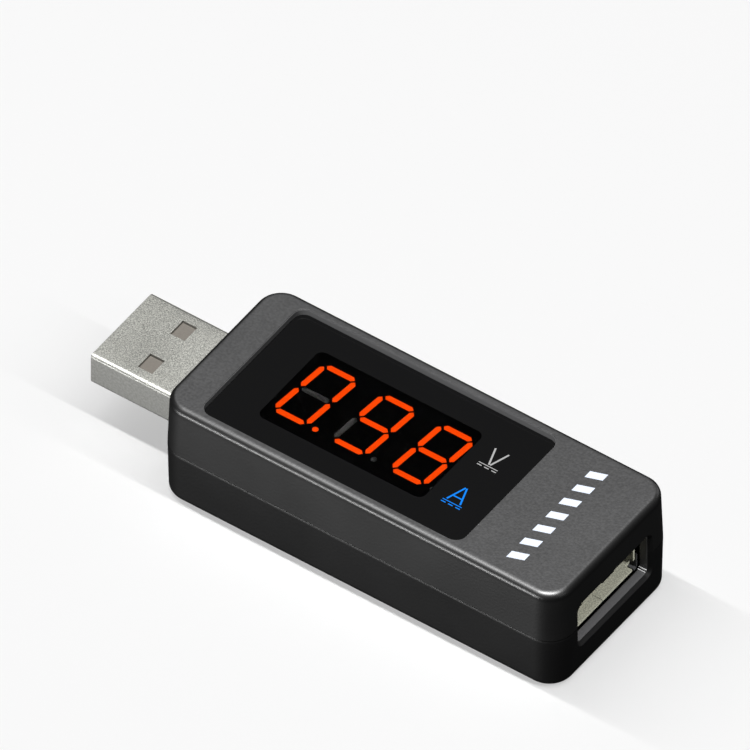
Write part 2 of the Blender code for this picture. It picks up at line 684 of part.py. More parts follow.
def make_plug(shell_finish, insulator_finish, contact_finish):
    half_width, half_height = PLUG_WIDTH / 2, PLUG_HEIGHT / 2
    end_x = TIP_X + PLUG_LENGTH
    shell = block(
        "plug_shell",
        (TIP_X, -half_width, PARTING_Z - half_height),
        (end_x, half_width, PARTING_Z + half_height),
        shell_finish,
        round_axis=0,
        radius=0.5 * MM,
    )
    for side in ("left", "right"):
        join(shell, leg(f"plug_leg_{side}", PLUG_SHEET, PARTING_Z))
    inner_width, inner_height = half_width - PLUG_SHEET, half_height - PLUG_SHEET
    bore = block(
        "plug_bore",
        (TIP_X - MM, -inner_width, PARTING_Z - inner_height),
        (end_x + MM, inner_width, PARTING_Z + inner_height),
        round_axis=0,
        radius=0.25 * MM,
    )
    cut(shell, bore)
    for n, (sy, sz) in enumerate(((-1, -1), (-1, 1), (1, -1), (1, 1))):
        ys = sorted(sy * y for y in PLUG_HOLE_Y)
        zs = sorted(PARTING_Z + sz * z for z in (half_height - 0.8 * MM, half_height + MM))
        hole = block(
            f"plug_hole_{n}",
            (TIP_X + PLUG_HOLE_X[0], ys[0], zs[0]),
            (TIP_X + PLUG_HOLE_X[1], ys[1], zs[1]),
        )
        cut(shell, hole)

    fit = GAP
    insulator = block(
        "plug_insulator",
        (TIP_X + 0.4 * MM, -inner_width + fit, PARTING_Z - inner_height + fit),
        (end_x - GAP, inner_width - fit, PARTING_Z - GAP),
        insulator_finish,
        round_axis=0,
        radius=CORNER_FIT,
        segments=2,
    )
    back = block(
        "plug_back_block",
        (TIP_X + 9.4 * MM, -inner_width + fit, PARTING_Z - MM),
        (end_x - GAP, inner_width - fit, PARTING_Z + inner_height - fit),
        round_axis=0,
        radius=CORNER_FIT,
        segments=2,
    )
    join(insulator, back)
    contact_z = PARTING_Z - GAP
    for n, y in enumerate(CONTACT_YS):
        front = TIP_X + (1.1 if n in (0, 3) else 2.1) * MM
        half_slot = CONTACT_WIDTH / 2 + GAP
        slot_z = (contact_z - CONTACT_SHEET / 2 - GAP, contact_z + CONTACT_SHEET / 2 + GAP)
        groove = block(
            f"plug_groove_{n}",
            (front - GAP, y - half_slot, slot_z[0]),
            (end_x + MM, y + half_slot, slot_z[1]),
        )
        cut(insulator, groove)
        foot_z = BOARD_TOP + CONTACT_SHEET / 2 + GAP
        path = [(front, contact_z), (end_x + 0.35 * MM, contact_z), (end_x + 0.8 * MM, foot_z)]
        path.append((end_x + 1.9 * MM, foot_z))
        strip(f"plug_contact_{n + 1}", path, (0.0, y, 0.0), CONTACT_WIDTH, CONTACT_SHEET, contact_finish)


# ---- Socket -----------------------------------------------------------------------------------


def socket_lips():
    """Short lips in front of the socket's four walls. The corners between them are open."""
    w, h, t = SOCKET_HALF_WIDTH, SOCKET_HALF_HEIGHT, SOCKET_SHEET
    overlap_x = SOCKET_FRONT_X - 0.3 * MM
    lips = []
    for n, sz in enumerate((-1, 1)):
        zs = sorted((PARTING_Z + sz * (h - t), PARTING_Z + sz * h))
        low, high = (overlap_x, -5.7 * MM, zs[0]), (SOCKET_LIP_X, 5.7 * MM, zs[1])
        lips.append(block(f"socket_lip_{n}", low, high))
    for n, sy in enumerate((-1, 1)):
        ys = sorted((sy * (w - t), sy * w))
        low = (overlap_x, ys[0], PARTING_Z - 1.7 * MM)
        high = (SOCKET_LIP_X - 0.25 * MM, ys[1], PARTING_Z + 1.7 * MM)
        lips.append(block(f"socket_side_lip_{n}", low, high))
    return lips


def make_socket_shell(finish):
    w, h, t = SOCKET_HALF_WIDTH, SOCKET_HALF_HEIGHT, SOCKET_SHEET
    shell = block(
        "socket_shell",
        (SOCKET_BACK_X, -w, PARTING_Z - h),
        (SOCKET_FRONT_X, w, PARTING_Z + h),
        finish,
        round_axis=0,
        radius=0.5 * MM,
    )
    for side in ("left", "right"):
        join(shell, leg(f"socket_leg_{side}", t, PARTING_Z))
    bore = block(
        "socket_bore",
        (SOCKET_BACK_X - MM, -w + t, PARTING_Z - h + t),
        (SOCKET_FRONT_X + MM, w - t, PARTING_Z + h - t),
        round_axis=0,
        radius=0.25 * MM,
    )
    tail_gate = block(
        "tail_gate",
        (SOCKET_BACK_X - MM, -4.4 * MM, PARTING_Z - h - MM),
        (SOCKET_BACK_X + TAIL_DROP + 0.5 * MM, 4.4 * MM, PARTING_Z),
    )
    cut(shell, bore, tail_gate)
    join(shell, *socket_lips())
    for n, (y, sz) in enumerate((y, sz) for y in FINGER_YS for sz in (-1, 1)):
        zs = sorted((PARTING_Z + sz * (h - t - MM), PARTING_Z + sz * (h + MM)))
        half = FINGER_WIDTH / 2 + 0.2 * MM
        window = block(
            f"finger_window_{n}",
            (FINGER_ROOT_X - GAP, y - half, zs[0]),
            (FINGER_ROOT_X + FINGER_LENGTH + 0.35 * MM, y + half, zs[1]),
        )
        cut(shell, window)


def make_spring_fingers(finish):
    """Retention springs: each is cut from the shell on three sides, and bends at its rear end."""
    for side, y in zip(("left", "right"), FINGER_YS):
        for level, sz in (("bottom", -1), ("top", 1)):
            profile = [(0.0, 0.0), (3.9, -0.1), (4.4, -0.42), (4.9, -0.2)]
            path = [(x * MM, sz * z * MM) for x, z in profile]
            hinge = (FINGER_ROOT_X, y, PARTING_Z + sz * FINGER_WALL_Z)
            strip(f"socket_finger_{level}_{side}", path, hinge, FINGER_WIDTH, FINGER_THICKNESS, finish)


def make_socket_insides(insulator_finish, contact_finish):
    w, h = SOCKET_HALF_WIDTH - SOCKET_SHEET - GAP, SOCKET_HALF_HEIGHT - SOCKET_SHEET - GAP
    insulator = block(
        "socket_insulator",
        (SOCKET_BACK_X, -w, PARTING_Z - h),
        (TONGUE_ROOT_X, w, PARTING_Z + h),
        insulator_finish,
        round_axis=0,
        radius=CORNER_FIT,
        segments=2,
    )
    tongue = block(
        "socket_tongue",
        (TONGUE_ROOT_X - MM, -5.55 * MM, TONGUE_Z[0]),
        (TONGUE_FRONT_X, 5.55 * MM, TONGUE_Z[1]),
    )
    join(insulator, tongue)
    root_z = CONTACT_ROOT_Z
    for n, y in enumerate(CONTACT_YS):
        half = CONTACT_WIDTH / 2 + 0.15 * MM
        groove = block(
            f"tongue_groove_{n}",
            (TONGUE_ROOT_X, y - half, TONGUE_Z[0] - MM),
            (TONGUE_FRONT_X - 0.35 * MM, y + half, TONGUE_Z[0] + 1.15 * MM),
        )
        slot_half = CONTACT_SHEET / 2 + GAP
        slot = block(
            f"tail_slot_{n}",
            (SOCKET_BACK_X - MM, y - half, root_z - slot_half),
            (TONGUE_ROOT_X + MM, y + half, root_z + slot_half),
        )
        drop = block(
            f"tail_drop_{n}",
            (SOCKET_BACK_X - MM, y - half, PARTING_Z - 4 * MM),
            (SOCKET_BACK_X + TAIL_DROP + 0.3 * MM, y + half, root_z + slot_half),
        )
        cut(insulator, groove, slot, drop)

        tail_x = SOCKET_BACK_X + TAIL_DROP
        bend = 0.15 * MM
        path = [(CONTACT_ROOT_X - GAP, root_z), (tail_x + bend, root_z), (tail_x, root_z - bend)]
        path.append((tail_x, BOARD_BOTTOM - TAIL_DEPTH))
        tail = f"socket_contact_tail_{n + 1}"
        strip(tail, path, (0.0, y, 0.0), CONTACT_WIDTH, CONTACT_SHEET, contact_finish)
        beam = [(0.0, 0.0), (3.4, -0.22), (4.4, -0.18), (5.7, 0.35)]
        path = [(x * MM, z * MM) for x, z in beam]
        hinge = (CONTACT_ROOT_X, y, root_z)
        strip(f"socket_contact_{n + 1}", path, hinge, CONTACT_WIDTH, CONTACT_SHEET, contact_finish)


def main():
    clear_scene()
    graphite = material("graphite_plastic", (0.10, 0.10, 0.10), 0.45)
    smoked = material("smoked_window", (0.01, 0.01, 0.01), 0.15)
    black = material("black_plastic", (0.02, 0.02, 0.02), 0.6)
    diffuser = material("amber_diffuser", (0.9, 0.25, 0.05), 0.5)
    green = material("board_green", (0.03, 0.18, 0.07), 0.5)
    nickel = material("nickel_plate", (0.62, 0.61, 0.57), 0.35, 1.0)
    gold = material("gold_plate", (0.83, 0.61, 0.25), 0.3, 1.0)
    tin = material("tin_plate", (0.72, 0.72, 0.72), 0.35, 1.0)
    white = material("white_insulator", (0.8, 0.8, 0.78), 0.5)
    finishes = {
        "chip": black,
        "resistor": material("resistor_black", (0.03, 0.03, 0.035), 0.5),
        "capacitor": material("capacitor_tan", (0.55, 0.40, 0.22), 0.5),
        "led": white,
    }
    make_top_shell(graphite)
    make_bottom_shell(graphite)
    make_window(smoked, black)
    make_display(black, diffuser, green, tin)
    make_main_board(green)
    make_components(finishes)
    make_indicator_shroud(black)
    make_plug(nickel, white, gold)
    make_socket_shell(nickel)
    make_spring_fingers(nickel)
    make_socket_insides(white, gold)


main()
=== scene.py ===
# %% [markdown]
# # A pocket power meter, finished
#
# The meter is a small two-part housing with a type A plug at one end, a type A socket at the
# other, and a red three-digit display under a dark window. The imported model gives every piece
# at its real size and place. This lesson gives the visible pieces their fine shapes and finishes.

import json
import math

import bmesh
import bpy
from mathutils import Matrix, Vector


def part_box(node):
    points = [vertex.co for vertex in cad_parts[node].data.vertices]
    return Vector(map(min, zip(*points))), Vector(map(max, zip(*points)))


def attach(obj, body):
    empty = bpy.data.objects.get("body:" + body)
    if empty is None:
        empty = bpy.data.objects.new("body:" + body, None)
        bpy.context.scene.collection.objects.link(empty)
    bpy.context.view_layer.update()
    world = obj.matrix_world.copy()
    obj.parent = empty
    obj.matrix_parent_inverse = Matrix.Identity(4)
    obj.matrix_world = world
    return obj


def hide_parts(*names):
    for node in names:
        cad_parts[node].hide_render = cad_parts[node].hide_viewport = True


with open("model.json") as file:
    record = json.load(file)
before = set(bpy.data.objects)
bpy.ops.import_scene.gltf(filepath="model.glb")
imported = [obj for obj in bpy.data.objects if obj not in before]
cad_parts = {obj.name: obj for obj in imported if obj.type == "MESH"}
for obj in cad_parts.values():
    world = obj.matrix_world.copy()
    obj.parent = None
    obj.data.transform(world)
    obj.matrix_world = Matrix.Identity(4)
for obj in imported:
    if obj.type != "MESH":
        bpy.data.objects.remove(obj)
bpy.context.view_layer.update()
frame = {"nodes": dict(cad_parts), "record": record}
MM = 0.001
BODY = "meter"

# %% [markdown]
# ## Sizes
#
# Everything that another piece has to meet is read from the frame, so that nothing is fitted by
# eye. The few values below are the small radii that only the fine surface needs.

# %% Measure the frame
top_low, top_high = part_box("top_shell")
plug_low, plug_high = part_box("plug_shell")
window_low, window_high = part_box("display_window")
case_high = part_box("display_case")[1]
socket_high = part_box("socket_shell")[1]
board_low, board_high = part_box("main_board")

HOUSING_MIDDLE = (top_low.x + top_high.x) / 2
HALF_LENGTH = (top_high.x - top_low.x) / 2
HALF_WIDTH = (top_high.y - top_low.y) / 2
TOP = top_high.z
PARTING = TOP / 2
CORNER = 3.3 * MM
WALL = 1.5 * MM
print("housing, mm:", [round(v / MM, 2) for v in (2 * HALF_LENGTH, 2 * HALF_WIDTH, TOP)])

# %% [markdown]
# ## Camera
#
# A long lens flattens a small product until its parallel edges stay parallel. An orthographic
# camera does the same thing exactly, and its scale is simply the width of what it sees.

# %% Place the camera
AZIMUTH = math.radians(35.36)
ELEVATION = math.radians(46.29)
VIEW_WIDTH = 84.29 * MM
LOOK_AT = Vector((-7.42, 11.71, 7.42)) * MM
CAMERA_DISTANCE = 0.6

camera_data = bpy.data.cameras.new("studio_camera")
camera_data.type = "ORTHO"
camera_data.ortho_scale = VIEW_WIDTH
camera_data.clip_start = 0.01
camera_data.clip_end = 10.0
camera = bpy.data.objects.new("studio_camera", camera_data)
bpy.context.scene.collection.objects.link(camera)
towards_camera = Vector((
    math.sin(AZIMUTH) * math.cos(ELEVATION),
    -math.cos(AZIMUTH) * math.cos(ELEVATION),
    math.sin(ELEVATION),
))
camera.location = LOOK_AT + towards_camera * CAMERA_DISTANCE
camera.rotation_euler = (-towards_camera).to_track_quat("-Z", "Y").to_euler()
bpy.context.scene.camera = camera
print("camera looks down at", round(math.degrees(ELEVATION), 1), "degrees")

# %% [markdown]
# ## Studio
#
# Satin black plastic has almost no colour of its own. What shows is the lamps, spread out by
# the fine texture: a face is bright where it tips towards a lamp and nearly black where it
# tips away. One large softbox hangs overhead and one long lamp lies low in front, so that the
# rounded edge draws two bright lines. Weak lamps at the back and at the socket end only keep
# those sides readable. Three small lamps and the floor's strip are tied to single pieces later,
# because one studio light can't suit a deep mouth and a flat top at once.

# %% Lamps
scene = bpy.context.scene
scene.view_settings.view_transform = "Standard"
scene.view_settings.look = "None"
LAMP_DISTANCE = 0.8


def softbox(name, direction, size, light, warmth=(1.0, 1.0, 1.0)):
    """A rectangular lamp that looks at the meter.

    light is how brightly it lights a sheet that faces it.
    """
    lamp = bpy.data.lights.new(name, "AREA")
    lamp.shape = "RECTANGLE"
    lamp.size, lamp.size_y = size
    lamp.energy = light * math.pi * LAMP_DISTANCE ** 2
    lamp.color = warmth
    made = bpy.data.objects.new(name, lamp)
    scene.collection.objects.link(made)
    way = Vector(direction).normalized()
    made.location = Vector((0.0, 0.0, PARTING)) + way * LAMP_DISTANCE
    made.rotation_euler = (-way).to_track_quat("-Z", "Y").to_euler()
    made.visible_camera = False
    return made


meter_lamps = [
    softbox("overhead_lamp", (0.08, -0.21, 1.0), (0.50, 0.24), 10.0),
    softbox("front_lamp", (-0.38, -0.91, -0.16), (0.40, 0.08), 1.6),
    softbox("socket_side_lamp", (0.95, -0.10, 0.35), (0.3, 0.3), 0.12),
    softbox("back_lamp", (0.20, 0.95, 0.30), (0.4, 0.3), 0.25),
]
mouth_lamp = softbox("mouth_lamp", (0.80, 0.10, 0.58), (0.15, 0.15), 9.0)
recess_lamp = softbox("recess_lamp", (-0.30, -0.80, 0.52), (0.2, 0.2), 3.6)
plug_lamp = softbox("plug_lamp", (-0.40, -0.563, -0.723), (0.6, 0.4), 0.4)
floor_strip = softbox("floor_strip", (0.0, 0.0, 1.0), (3.0, 0.03), 4.2)

# %% [markdown]
# ## Floor and background
#
# The floor is white paper. It gets its own light: a wash without shadows and a long narrow
# strip that runs along the meter, which draws soft shadows at the two ends and none at the
# sides. Light linking keeps the studio's lamps off the floor, and the floor is hidden from
# reflections, so that white paper doesn't turn the black ends grey. The world is almost dark for
# the meter and pale for the camera, which a Light Path node decides.

# %% Floor, wash and links
FLOOR_HALF = 2.0
FLOOR_DROP = 0.02 * MM
AIR_GLOW = 0.012
BACKDROP = 0.955


def floor_material():
    made = bpy.data.materials.new("white_paper")
    made.use_nodes = True
    shader = made.node_tree.nodes["Principled BSDF"]
    shader.inputs["Base Color"].default_value = (0.9, 0.9, 0.9, 1.0)
    shader.inputs["Roughness"].default_value = 1.0
    shader.inputs["Specular IOR Level"].default_value = 0.0
    return made


def make_floor(half_size):
    bm = bmesh.new()
    bmesh.ops.create_grid(bm, x_segments=1, y_segments=1, size=half_size)
    mesh = bpy.data.meshes.new("floor")
    bm.to_mesh(mesh)
    bm.free()
    mesh.materials.append(floor_material())
    made = bpy.data.objects.new("floor", mesh)
    scene.collection.objects.link(made)
    made.location.z = -FLOOR_DROP
    made.visible_glossy = False
    made.visible_diffuse = False
    made.visible_shadow = False
    return made


def light_only(lamp, objects, state="INCLUDE"):
    """Makes a lamp light only some objects, or with EXCLUDE, all but them."""
    group = bpy.data.collections.new(lamp.name + "_receivers")
    for one in objects:
        group.objects.link(one)
    for item in group.collection_objects:
        item.light_linking.link_state = state
    lamp.light_linking.receiver_collection = group


floor = make_floor(FLOOR_HALF)
wash_light = bpy.data.lights.new("floor_wash", "SUN")
wash_light.energy = 1.62
wash_light.use_shadow = False
wash = bpy.data.objects.new("floor_wash", wash_light)
scene.collection.objects.link(wash)
for lamp in (wash, floor_strip):
    light_only(lamp, [floor])
for lamp in meter_lamps:
    light_only(lamp, [floor], "EXCLUDE")

world = bpy.data.worlds.new("studio_air")
scene.world = world
world.use_nodes = True
air = world.node_tree.nodes
dim = air["Background"]
dim.inputs["Color"].default_value = (0.95, 0.97, 1.0, 1.0)
dim.inputs["Strength"].default_value = AIR_GLOW
pale = air.new("ShaderNodeBackground")
pale.inputs["Color"].default_value = (1.0, 1.0, 1.0, 1.0)
pale.inputs["Strength"].default_value = BACKDROP
path = air.new("ShaderNodeLightPath")
pick = air.new("ShaderNodeMixShader")
world.node_tree.links.new(path.outputs["Is Camera Ray"], pick.inputs["Fac"])
world.node_tree.links.new(dim.outputs["Background"], pick.inputs[1])
world.node_tree.links.new(pale.outputs["Background"], pick.inputs[2])
world.node_tree.links.new(pick.outputs["Shader"], air["World Output"].inputs["Surface"])
print("floor:", tuple(floor.dimensions))

# %% [markdown]
# ## Finishes
#
# Moulded plastic is never one flat colour. The tool's spark-eroded skin leaves a fine grain,
# and the surface shines a little more in some places than in others. Each finish below is one
# Principled shader with noise on Object coordinates for its grain, so the grain keeps its real
# size and stays on the piece when the piece moves.

# %% Helpers for grained and glowing finishes
FINE_DETAIL = 1.5
BROAD_PATCH = 9.0
GLOW_CLOUD = 1.5
SHINE_SWING = 0.05


def new_finish(name):
    """A new material, with its nodes, its links and its Principled shader."""
    made = bpy.data.materials.new(name)
    made.use_nodes = True
    nodes = made.node_tree.nodes
    return made, nodes, made.node_tree.links, nodes["Principled BSDF"]


def noise(nodes, links, size, detail=2.0):
    """Noise on Object coordinates, with its size in millimetres."""
    place = nodes.new("ShaderNodeTexCoord")
    cloud = nodes.new("ShaderNodeTexNoise")
    cloud.inputs["Scale"].default_value = 1.0 / (size * MM)
    cloud.inputs["Detail"].default_value = detail
    links.new(place.outputs["Object"], cloud.inputs["Vector"])
    return cloud.outputs["Fac"]


def spread(nodes, links, value, low, high, start=0.0, end=1.0):
    """Moves a number from the range start to end onto the range low to high."""
    span = nodes.new("ShaderNodeMapRange")
    ranges = {"From Min": start, "From Max": end, "To Min": low, "To Max": high}
    for port, limit in ranges.items():
        span.inputs[port].default_value = limit
    links.new(value, span.inputs["Value"])
    return span.outputs["Result"]


def tinted(nodes, links, colour, level, socket):
    """Feeds a colour times a changing level into a socket."""
    tint = nodes.new("ShaderNodeVectorMath")
    tint.operation = "SCALE"
    tint.inputs[0].default_value = colour
    links.new(level, tint.inputs["Scale"])
    links.new(tint.outputs["Vector"], socket)


def grained(name, colour, roughness, metallic=0.0, grain=0.15, tone=0.06, bump=0.002,
            specular=0.5):
    """A Principled finish whose colour, shine and height all vary with a noise.

    grain is the noise's size and bump its height, both in millimetres. tone is how far the
    colour moves, as a part of itself. The shine follows a second, broader noise.
    """
    made, nodes, links, shader = new_finish(name)
    shader.inputs["Metallic"].default_value = metallic
    shader.inputs["Specular IOR Level"].default_value = specular
    fine = noise(nodes, links, grain, FINE_DETAIL)
    broad = noise(nodes, links, BROAD_PATCH)
    shade = spread(nodes, links, fine, 1.0 - tone, 1.0 + tone, 0.3, 0.7)
    tinted(nodes, links, colour, shade, shader.inputs["Base Color"])
    shine = spread(nodes, links, broad, roughness - SHINE_SWING, roughness + SHINE_SWING)
    links.new(shine, shader.inputs["Roughness"])
    height = nodes.new("ShaderNodeBump")
    height.inputs["Distance"].default_value = bump * MM
    links.new(fine, height.inputs["Height"])
    links.new(height.outputs["Normal"], shader.inputs["Normal"])
    return made


def glowing(name, colour, glow, strength):
    """A lit plastic bar: its own colour, with a slightly clouded light from behind."""
    made, nodes, links, shader = new_finish(name)
    shader.inputs["Base Color"].default_value = (*colour, 1.0)
    shader.inputs["Roughness"].default_value = 0.6
    shader.inputs["Specular IOR Level"].default_value = 0.1
    shader.inputs["Emission Strength"].default_value = strength
    level = spread(nodes, links, noise(nodes, links, GLOW_CLOUD), 0.97, 1.03)
    tinted(nodes, links, glow, level, shader.inputs["Emission Color"])
    return made


print("grained finishes vary their shine by", SHINE_SWING, "either way")

# %% [markdown]
# ## One finish that changes with height
#
# The upper cover's flat top is textured and painted much paler than its rounded edge and walls,
# which is painted light standing for the overhead softbox's sheen. The edge is also smoother, so
# the two don't answer light alike. One material can hold both, because Object coordinates say how
# high a point lies. A smooth step between two depths below the top gives a factor, and the factor
# multiplies the colour, the shine or the grain. A second material would draw a hard line.

# %% Factors that follow the depth below the top
# Each fade has its lower and upper depth in millimetres, then the factor at each of them.
# The colour fade is painted light: it keeps the flat top's pale colour and darkens the edge and
# the walls to a twelfth of it.
PAINTED_TOP_LIGHT_FADE = (0.11, 0.004, 0.08, 1.0)
SHINE_AT_EDGE = (0.10, 0.02, 0.86, 1.0)
SHINE_AT_WALL = (1.35, 0.75, 1.16, 1.0)
GRAIN_AT_EDGE = (0.10, 0.01, 0.25, 1.0)
GRAIN_AT_WALL = (1.35, 0.90, 2.6, 1.0)


def height_fade(finish, low, high, at_low, at_high):
    """A factor that runs smoothly from at_low to at_high between two depths below the top."""
    nodes, links = finish.node_tree.nodes, finish.node_tree.links
    place = nodes.new("ShaderNodeTexCoord")
    parts = nodes.new("ShaderNodeSeparateXYZ")
    links.new(place.outputs["Object"], parts.inputs["Vector"])
    factor = spread(nodes, links, parts.outputs["Z"], at_low, at_high,
                    TOP - low * MM, TOP - high * MM)
    factor.node.interpolation_type = "SMOOTHSTEP"
    return factor


def multiply_input(finish, socket, *factors):
    """Multiplies what already feeds a socket by more numbers."""
    nodes, links = finish.node_tree.nodes, finish.node_tree.links
    value = socket.links[0].from_socket
    for factor in factors:
        both = nodes.new("ShaderNodeMath")
        both.operation = "MULTIPLY"
        links.new(value, both.inputs[0])
        links.new(factor, both.inputs[1])
        value = both.outputs["Value"]
    links.new(value, socket)


def paint_top_light_and_polish_edge(finish):
    """Paints the flat top much paler than the rounded edge and the wall, as painted light.

    The edge is also a little smoother, with a quarter of the grain, and the wall is rougher.
    """
    nodes = finish.node_tree.nodes
    shader = nodes["Principled BSDF"]
    tint = next(node for node in nodes if node.type == "VECT_MATH")
    grain_strength = next(node for node in nodes if node.type == "BUMP").inputs["Strength"]
    multiply_input(finish, tint.inputs["Scale"], height_fade(finish, *PAINTED_TOP_LIGHT_FADE))
    multiply_input(finish, shader.inputs["Roughness"],
                   height_fade(finish, *SHINE_AT_EDGE), height_fade(finish, *SHINE_AT_WALL))
    finish.node_tree.links.new(height_fade(finish, *GRAIN_AT_EDGE), grain_strength)
    multiply_input(finish, grain_strength, height_fade(finish, *GRAIN_AT_WALL))


print("the edge keeps", PAINTED_TOP_LIGHT_FADE[2], "of the flat top's base colour")

# %% [markdown]
# ## The finishes of this meter
#
# Most lines name one real material: moulded covers, printed acrylic, nickel on steel, board, chips
# and lamps; a few hold painted light or shade, as their own comments say. The greys are low,
# because the eye sees a black cover's shine and not its colour. The numbers suit this studio's
# lamps: the flat top is painted paler than the walls, and the plug's faces than its sides, by more
# than one real material would be, and that difference is painted light and shade.

# %% The finishes
# This colour is the flat top's, raised as painted light; the colour fade brings the edge and walls
# down to the plastic's own dark grey.
UPPER_PLASTIC = grained("graphite_upper", (0.0210, 0.0210, 0.0214), 0.45,
                        grain=0.30, tone=0.28, bump=0.018, specular=0.95)
paint_top_light_and_polish_edge(UPPER_PLASTIC)
LOWER_PLASTIC = grained("graphite_lower", (0.0016, 0.0016, 0.0017), 0.45,
                        grain=0.30, tone=0.30, bump=0.018, specular=0.75)
PANEL_BLACK = grained("window_print", (0.0033, 0.0033, 0.0034), 0.14,
                      tone=0.03, bump=0.0, specular=0.3)
DISPLAY_BLACK = grained("display_black", (0.0015, 0.0015, 0.0015), 0.9,
                        tone=0.2, specular=0.05)
PLUG_METAL = grained("blasted_nickel", (0.54, 0.54, 0.50), 0.46, metallic=1.0,
                     grain=0.13, tone=0.50, bump=0.028)
# The sides' copy of the nickel is about half as bright as the faces': painted shade, beside a real
# change of grain.
PLUG_SHADED_SIDE_METAL = grained("rolled_nickel", (0.285, 0.285, 0.270), 0.46, metallic=1.0,
                          grain=0.30, tone=0.14, bump=0.004)
SOCKET_METAL = grained("socket_nickel", (0.165, 0.165, 0.132), 0.45, metallic=0.2,
                       grain=0.16, tone=0.45, bump=0.014)
# Painted light: a grey far paler than the cover, for the wall of the window's recess.
RECESS_PAINTED_LIGHT = grained("liner_grey", (0.050, 0.050, 0.051), 0.5, grain=0.2, tone=0.05)
# Far paler than the cover's own plastic: painted light in the socket's pocket, on top of the
# mouth's own lamp.
MOUTH_PAINTED_LIGHT = grained("mouth_grey", (0.023, 0.023, 0.024), 0.5, grain=0.2, tone=0.15)
# Painted highlights: pale bars that stand for the bright lines on the pocket's corner fillet.
HIGHLIGHT_PAINT = grained("bright_rib", (0.22, 0.22, 0.22), 0.4, grain=0.2, tone=0.05)
# The insulator's warm colour darkened to a third: painted shade inside the latch holes.
HOLE_SHADE = grained("latch_backing", (0.078, 0.070, 0.060), 0.6, grain=0.13, tone=0.15)
GOLD = grained("gold_flash", (0.85, 0.62, 0.27), 0.25, metallic=1.0,
               grain=0.1, tone=0.05, bump=0.001)
TIN = grained("tinned_wire", (0.70, 0.70, 0.71), 0.35, metallic=1.0, grain=0.2, tone=0.06)
MASK_GREEN = grained("solder_mask", (0.005, 0.040, 0.016), 0.32, grain=0.4, tone=0.15)
EPOXY = grained("moulded_epoxy", (0.02, 0.02, 0.021), 0.6, grain=0.12, tone=0.2, bump=0.006)
FILM = grained("resistor_film", (0.025, 0.025, 0.03), 0.3, grain=0.3, tone=0.1)
CERAMIC = grained("capacitor_ceramic", (0.40, 0.26, 0.13), 0.5,
                  grain=0.2, tone=0.12, bump=0.004)
POLYMER = grained("glass_filled_polymer", (0.24, 0.22, 0.20), 0.5,
                  grain=0.25, tone=0.08, bump=0.004)
RESIN = grained("lamp_resin", (0.75, 0.75, 0.70), 0.25, grain=0.3, tone=0.05)
FOAM = grained("black_foam_tape", (0.012, 0.012, 0.012), 0.9, grain=0.15, tone=0.3, bump=0.012)
INK = grained("pad_print_ink", (0.34, 0.37, 0.43), 0.5, grain=0.12, tone=0.04)
MILKY = grained("milky_light_guide", (0.28, 0.28, 0.28), 0.6,
                grain=0.5, tone=0.05, specular=0.1)
UNLIT = grained("unlit_bar", (0.14, 0.14, 0.14), 0.7, grain=0.3, tone=0.05, specular=0.1)
LIT_AMBER = glowing("lit_amber", (0.20, 0.02, 0.0), (1.0, 0.062, 0.0), 2.4)
LIT_BLUE = glowing("lit_blue", (0.0, 0.03, 0.10), (0.0, 0.24, 1.0), 0.78)
LIT_WHITE = glowing("lit_white", (0.05, 0.05, 0.05), (0.36, 0.36, 0.36), 1.0)
print("finishes:", len(bpy.data.materials))

# %% [markdown]
# ## Building shells from rings
#
# A moulded cover is one outline that shrinks, grows and shifts as it goes up the wall, over the
# edge and back down the inside. A list of rings with the same number of points describes it
# completely, and joining each ring to the next makes a closed solid with clean quads. A Bevel
# modifier on a box could round the edges too, but it couldn't give the draft, the window's
# recess and the wall thickness in one surface.

# %% Rings and lofts
CORNER_STEPS = 14
LEAST_RADIUS = 0.02 * MM
SHARP_ANGLE = math.radians(32)


def rounded_ring(middle, half_a, half_b, radius, level, axis="Z"):
    """The points of a rounded rectangle, on a level plane, or upright with axis X."""
    radius = max(min(radius, half_a, half_b), LEAST_RADIUS)
    points = []
    for corner, (side_a, side_b) in enumerate(((1, 1), (-1, 1), (-1, -1), (1, -1))):
        for step in range(CORNER_STEPS + 1):
            turn = math.radians(90 * corner + 90 * step / CORNER_STEPS)
            a = side_a * (half_a - radius) + radius * math.cos(turn)
            b = side_b * (half_b - radius) + radius * math.sin(turn)
            a, b = a + middle[0], b + middle[1]
            points.append(Vector((a, b, level)) if axis == "Z" else Vector((level, a, b)))
    return points


def loft(name, rings, finish, capped=True):
    """Joins rings into one closed solid.

    It is capped at both ends, or else its last ring is joined to its first.
    """
    bm = bmesh.new()
    rows = [[bm.verts.new(p) for p in ring] for ring in rings]
    pairs = list(zip(rows, rows[1:]))
    if not capped:
        pairs.append((rows[-1], rows[0]))
    for low, high in pairs:
        for i in range(len(low)):
            j = (i + 1) % len(low)
            bm.faces.new((low[i], low[j], high[j], high[i]))
    if capped:
        bm.faces.new(rows[0][::-1])
        bm.faces.new(rows[-1])
    bmesh.ops.recalc_face_normals(bm, faces=bm.faces)
    return finished_mesh(name, bm, finish)


def finished_mesh(name, bm, finish):
    """Turns a bmesh into a shaded object at the origin, with its place in its mesh."""
    mesh = bpy.data.meshes.new(name)
    bm.to_mesh(mesh)
    bm.free()
    mesh.shade_smooth()
    mesh.set_sharp_from_angle(angle=SHARP_ANGLE)
    if finish is not None:
        mesh.materials.append(finish)
    made = bpy.data.objects.new(name, mesh)
    scene.collection.objects.link(made)
    return made


def rod(name, x, y, low, high, radius):
    """An upright round rod."""
    bm = bmesh.new()
    middle = Matrix.Translation((x, y, (low + high) / 2))
    bmesh.ops.create_cone(bm, cap_ends=True, segments=32, radius1=radius, radius2=radius,
                          depth=high - low, matrix=middle)
    return finished_mesh(name, bm, None)


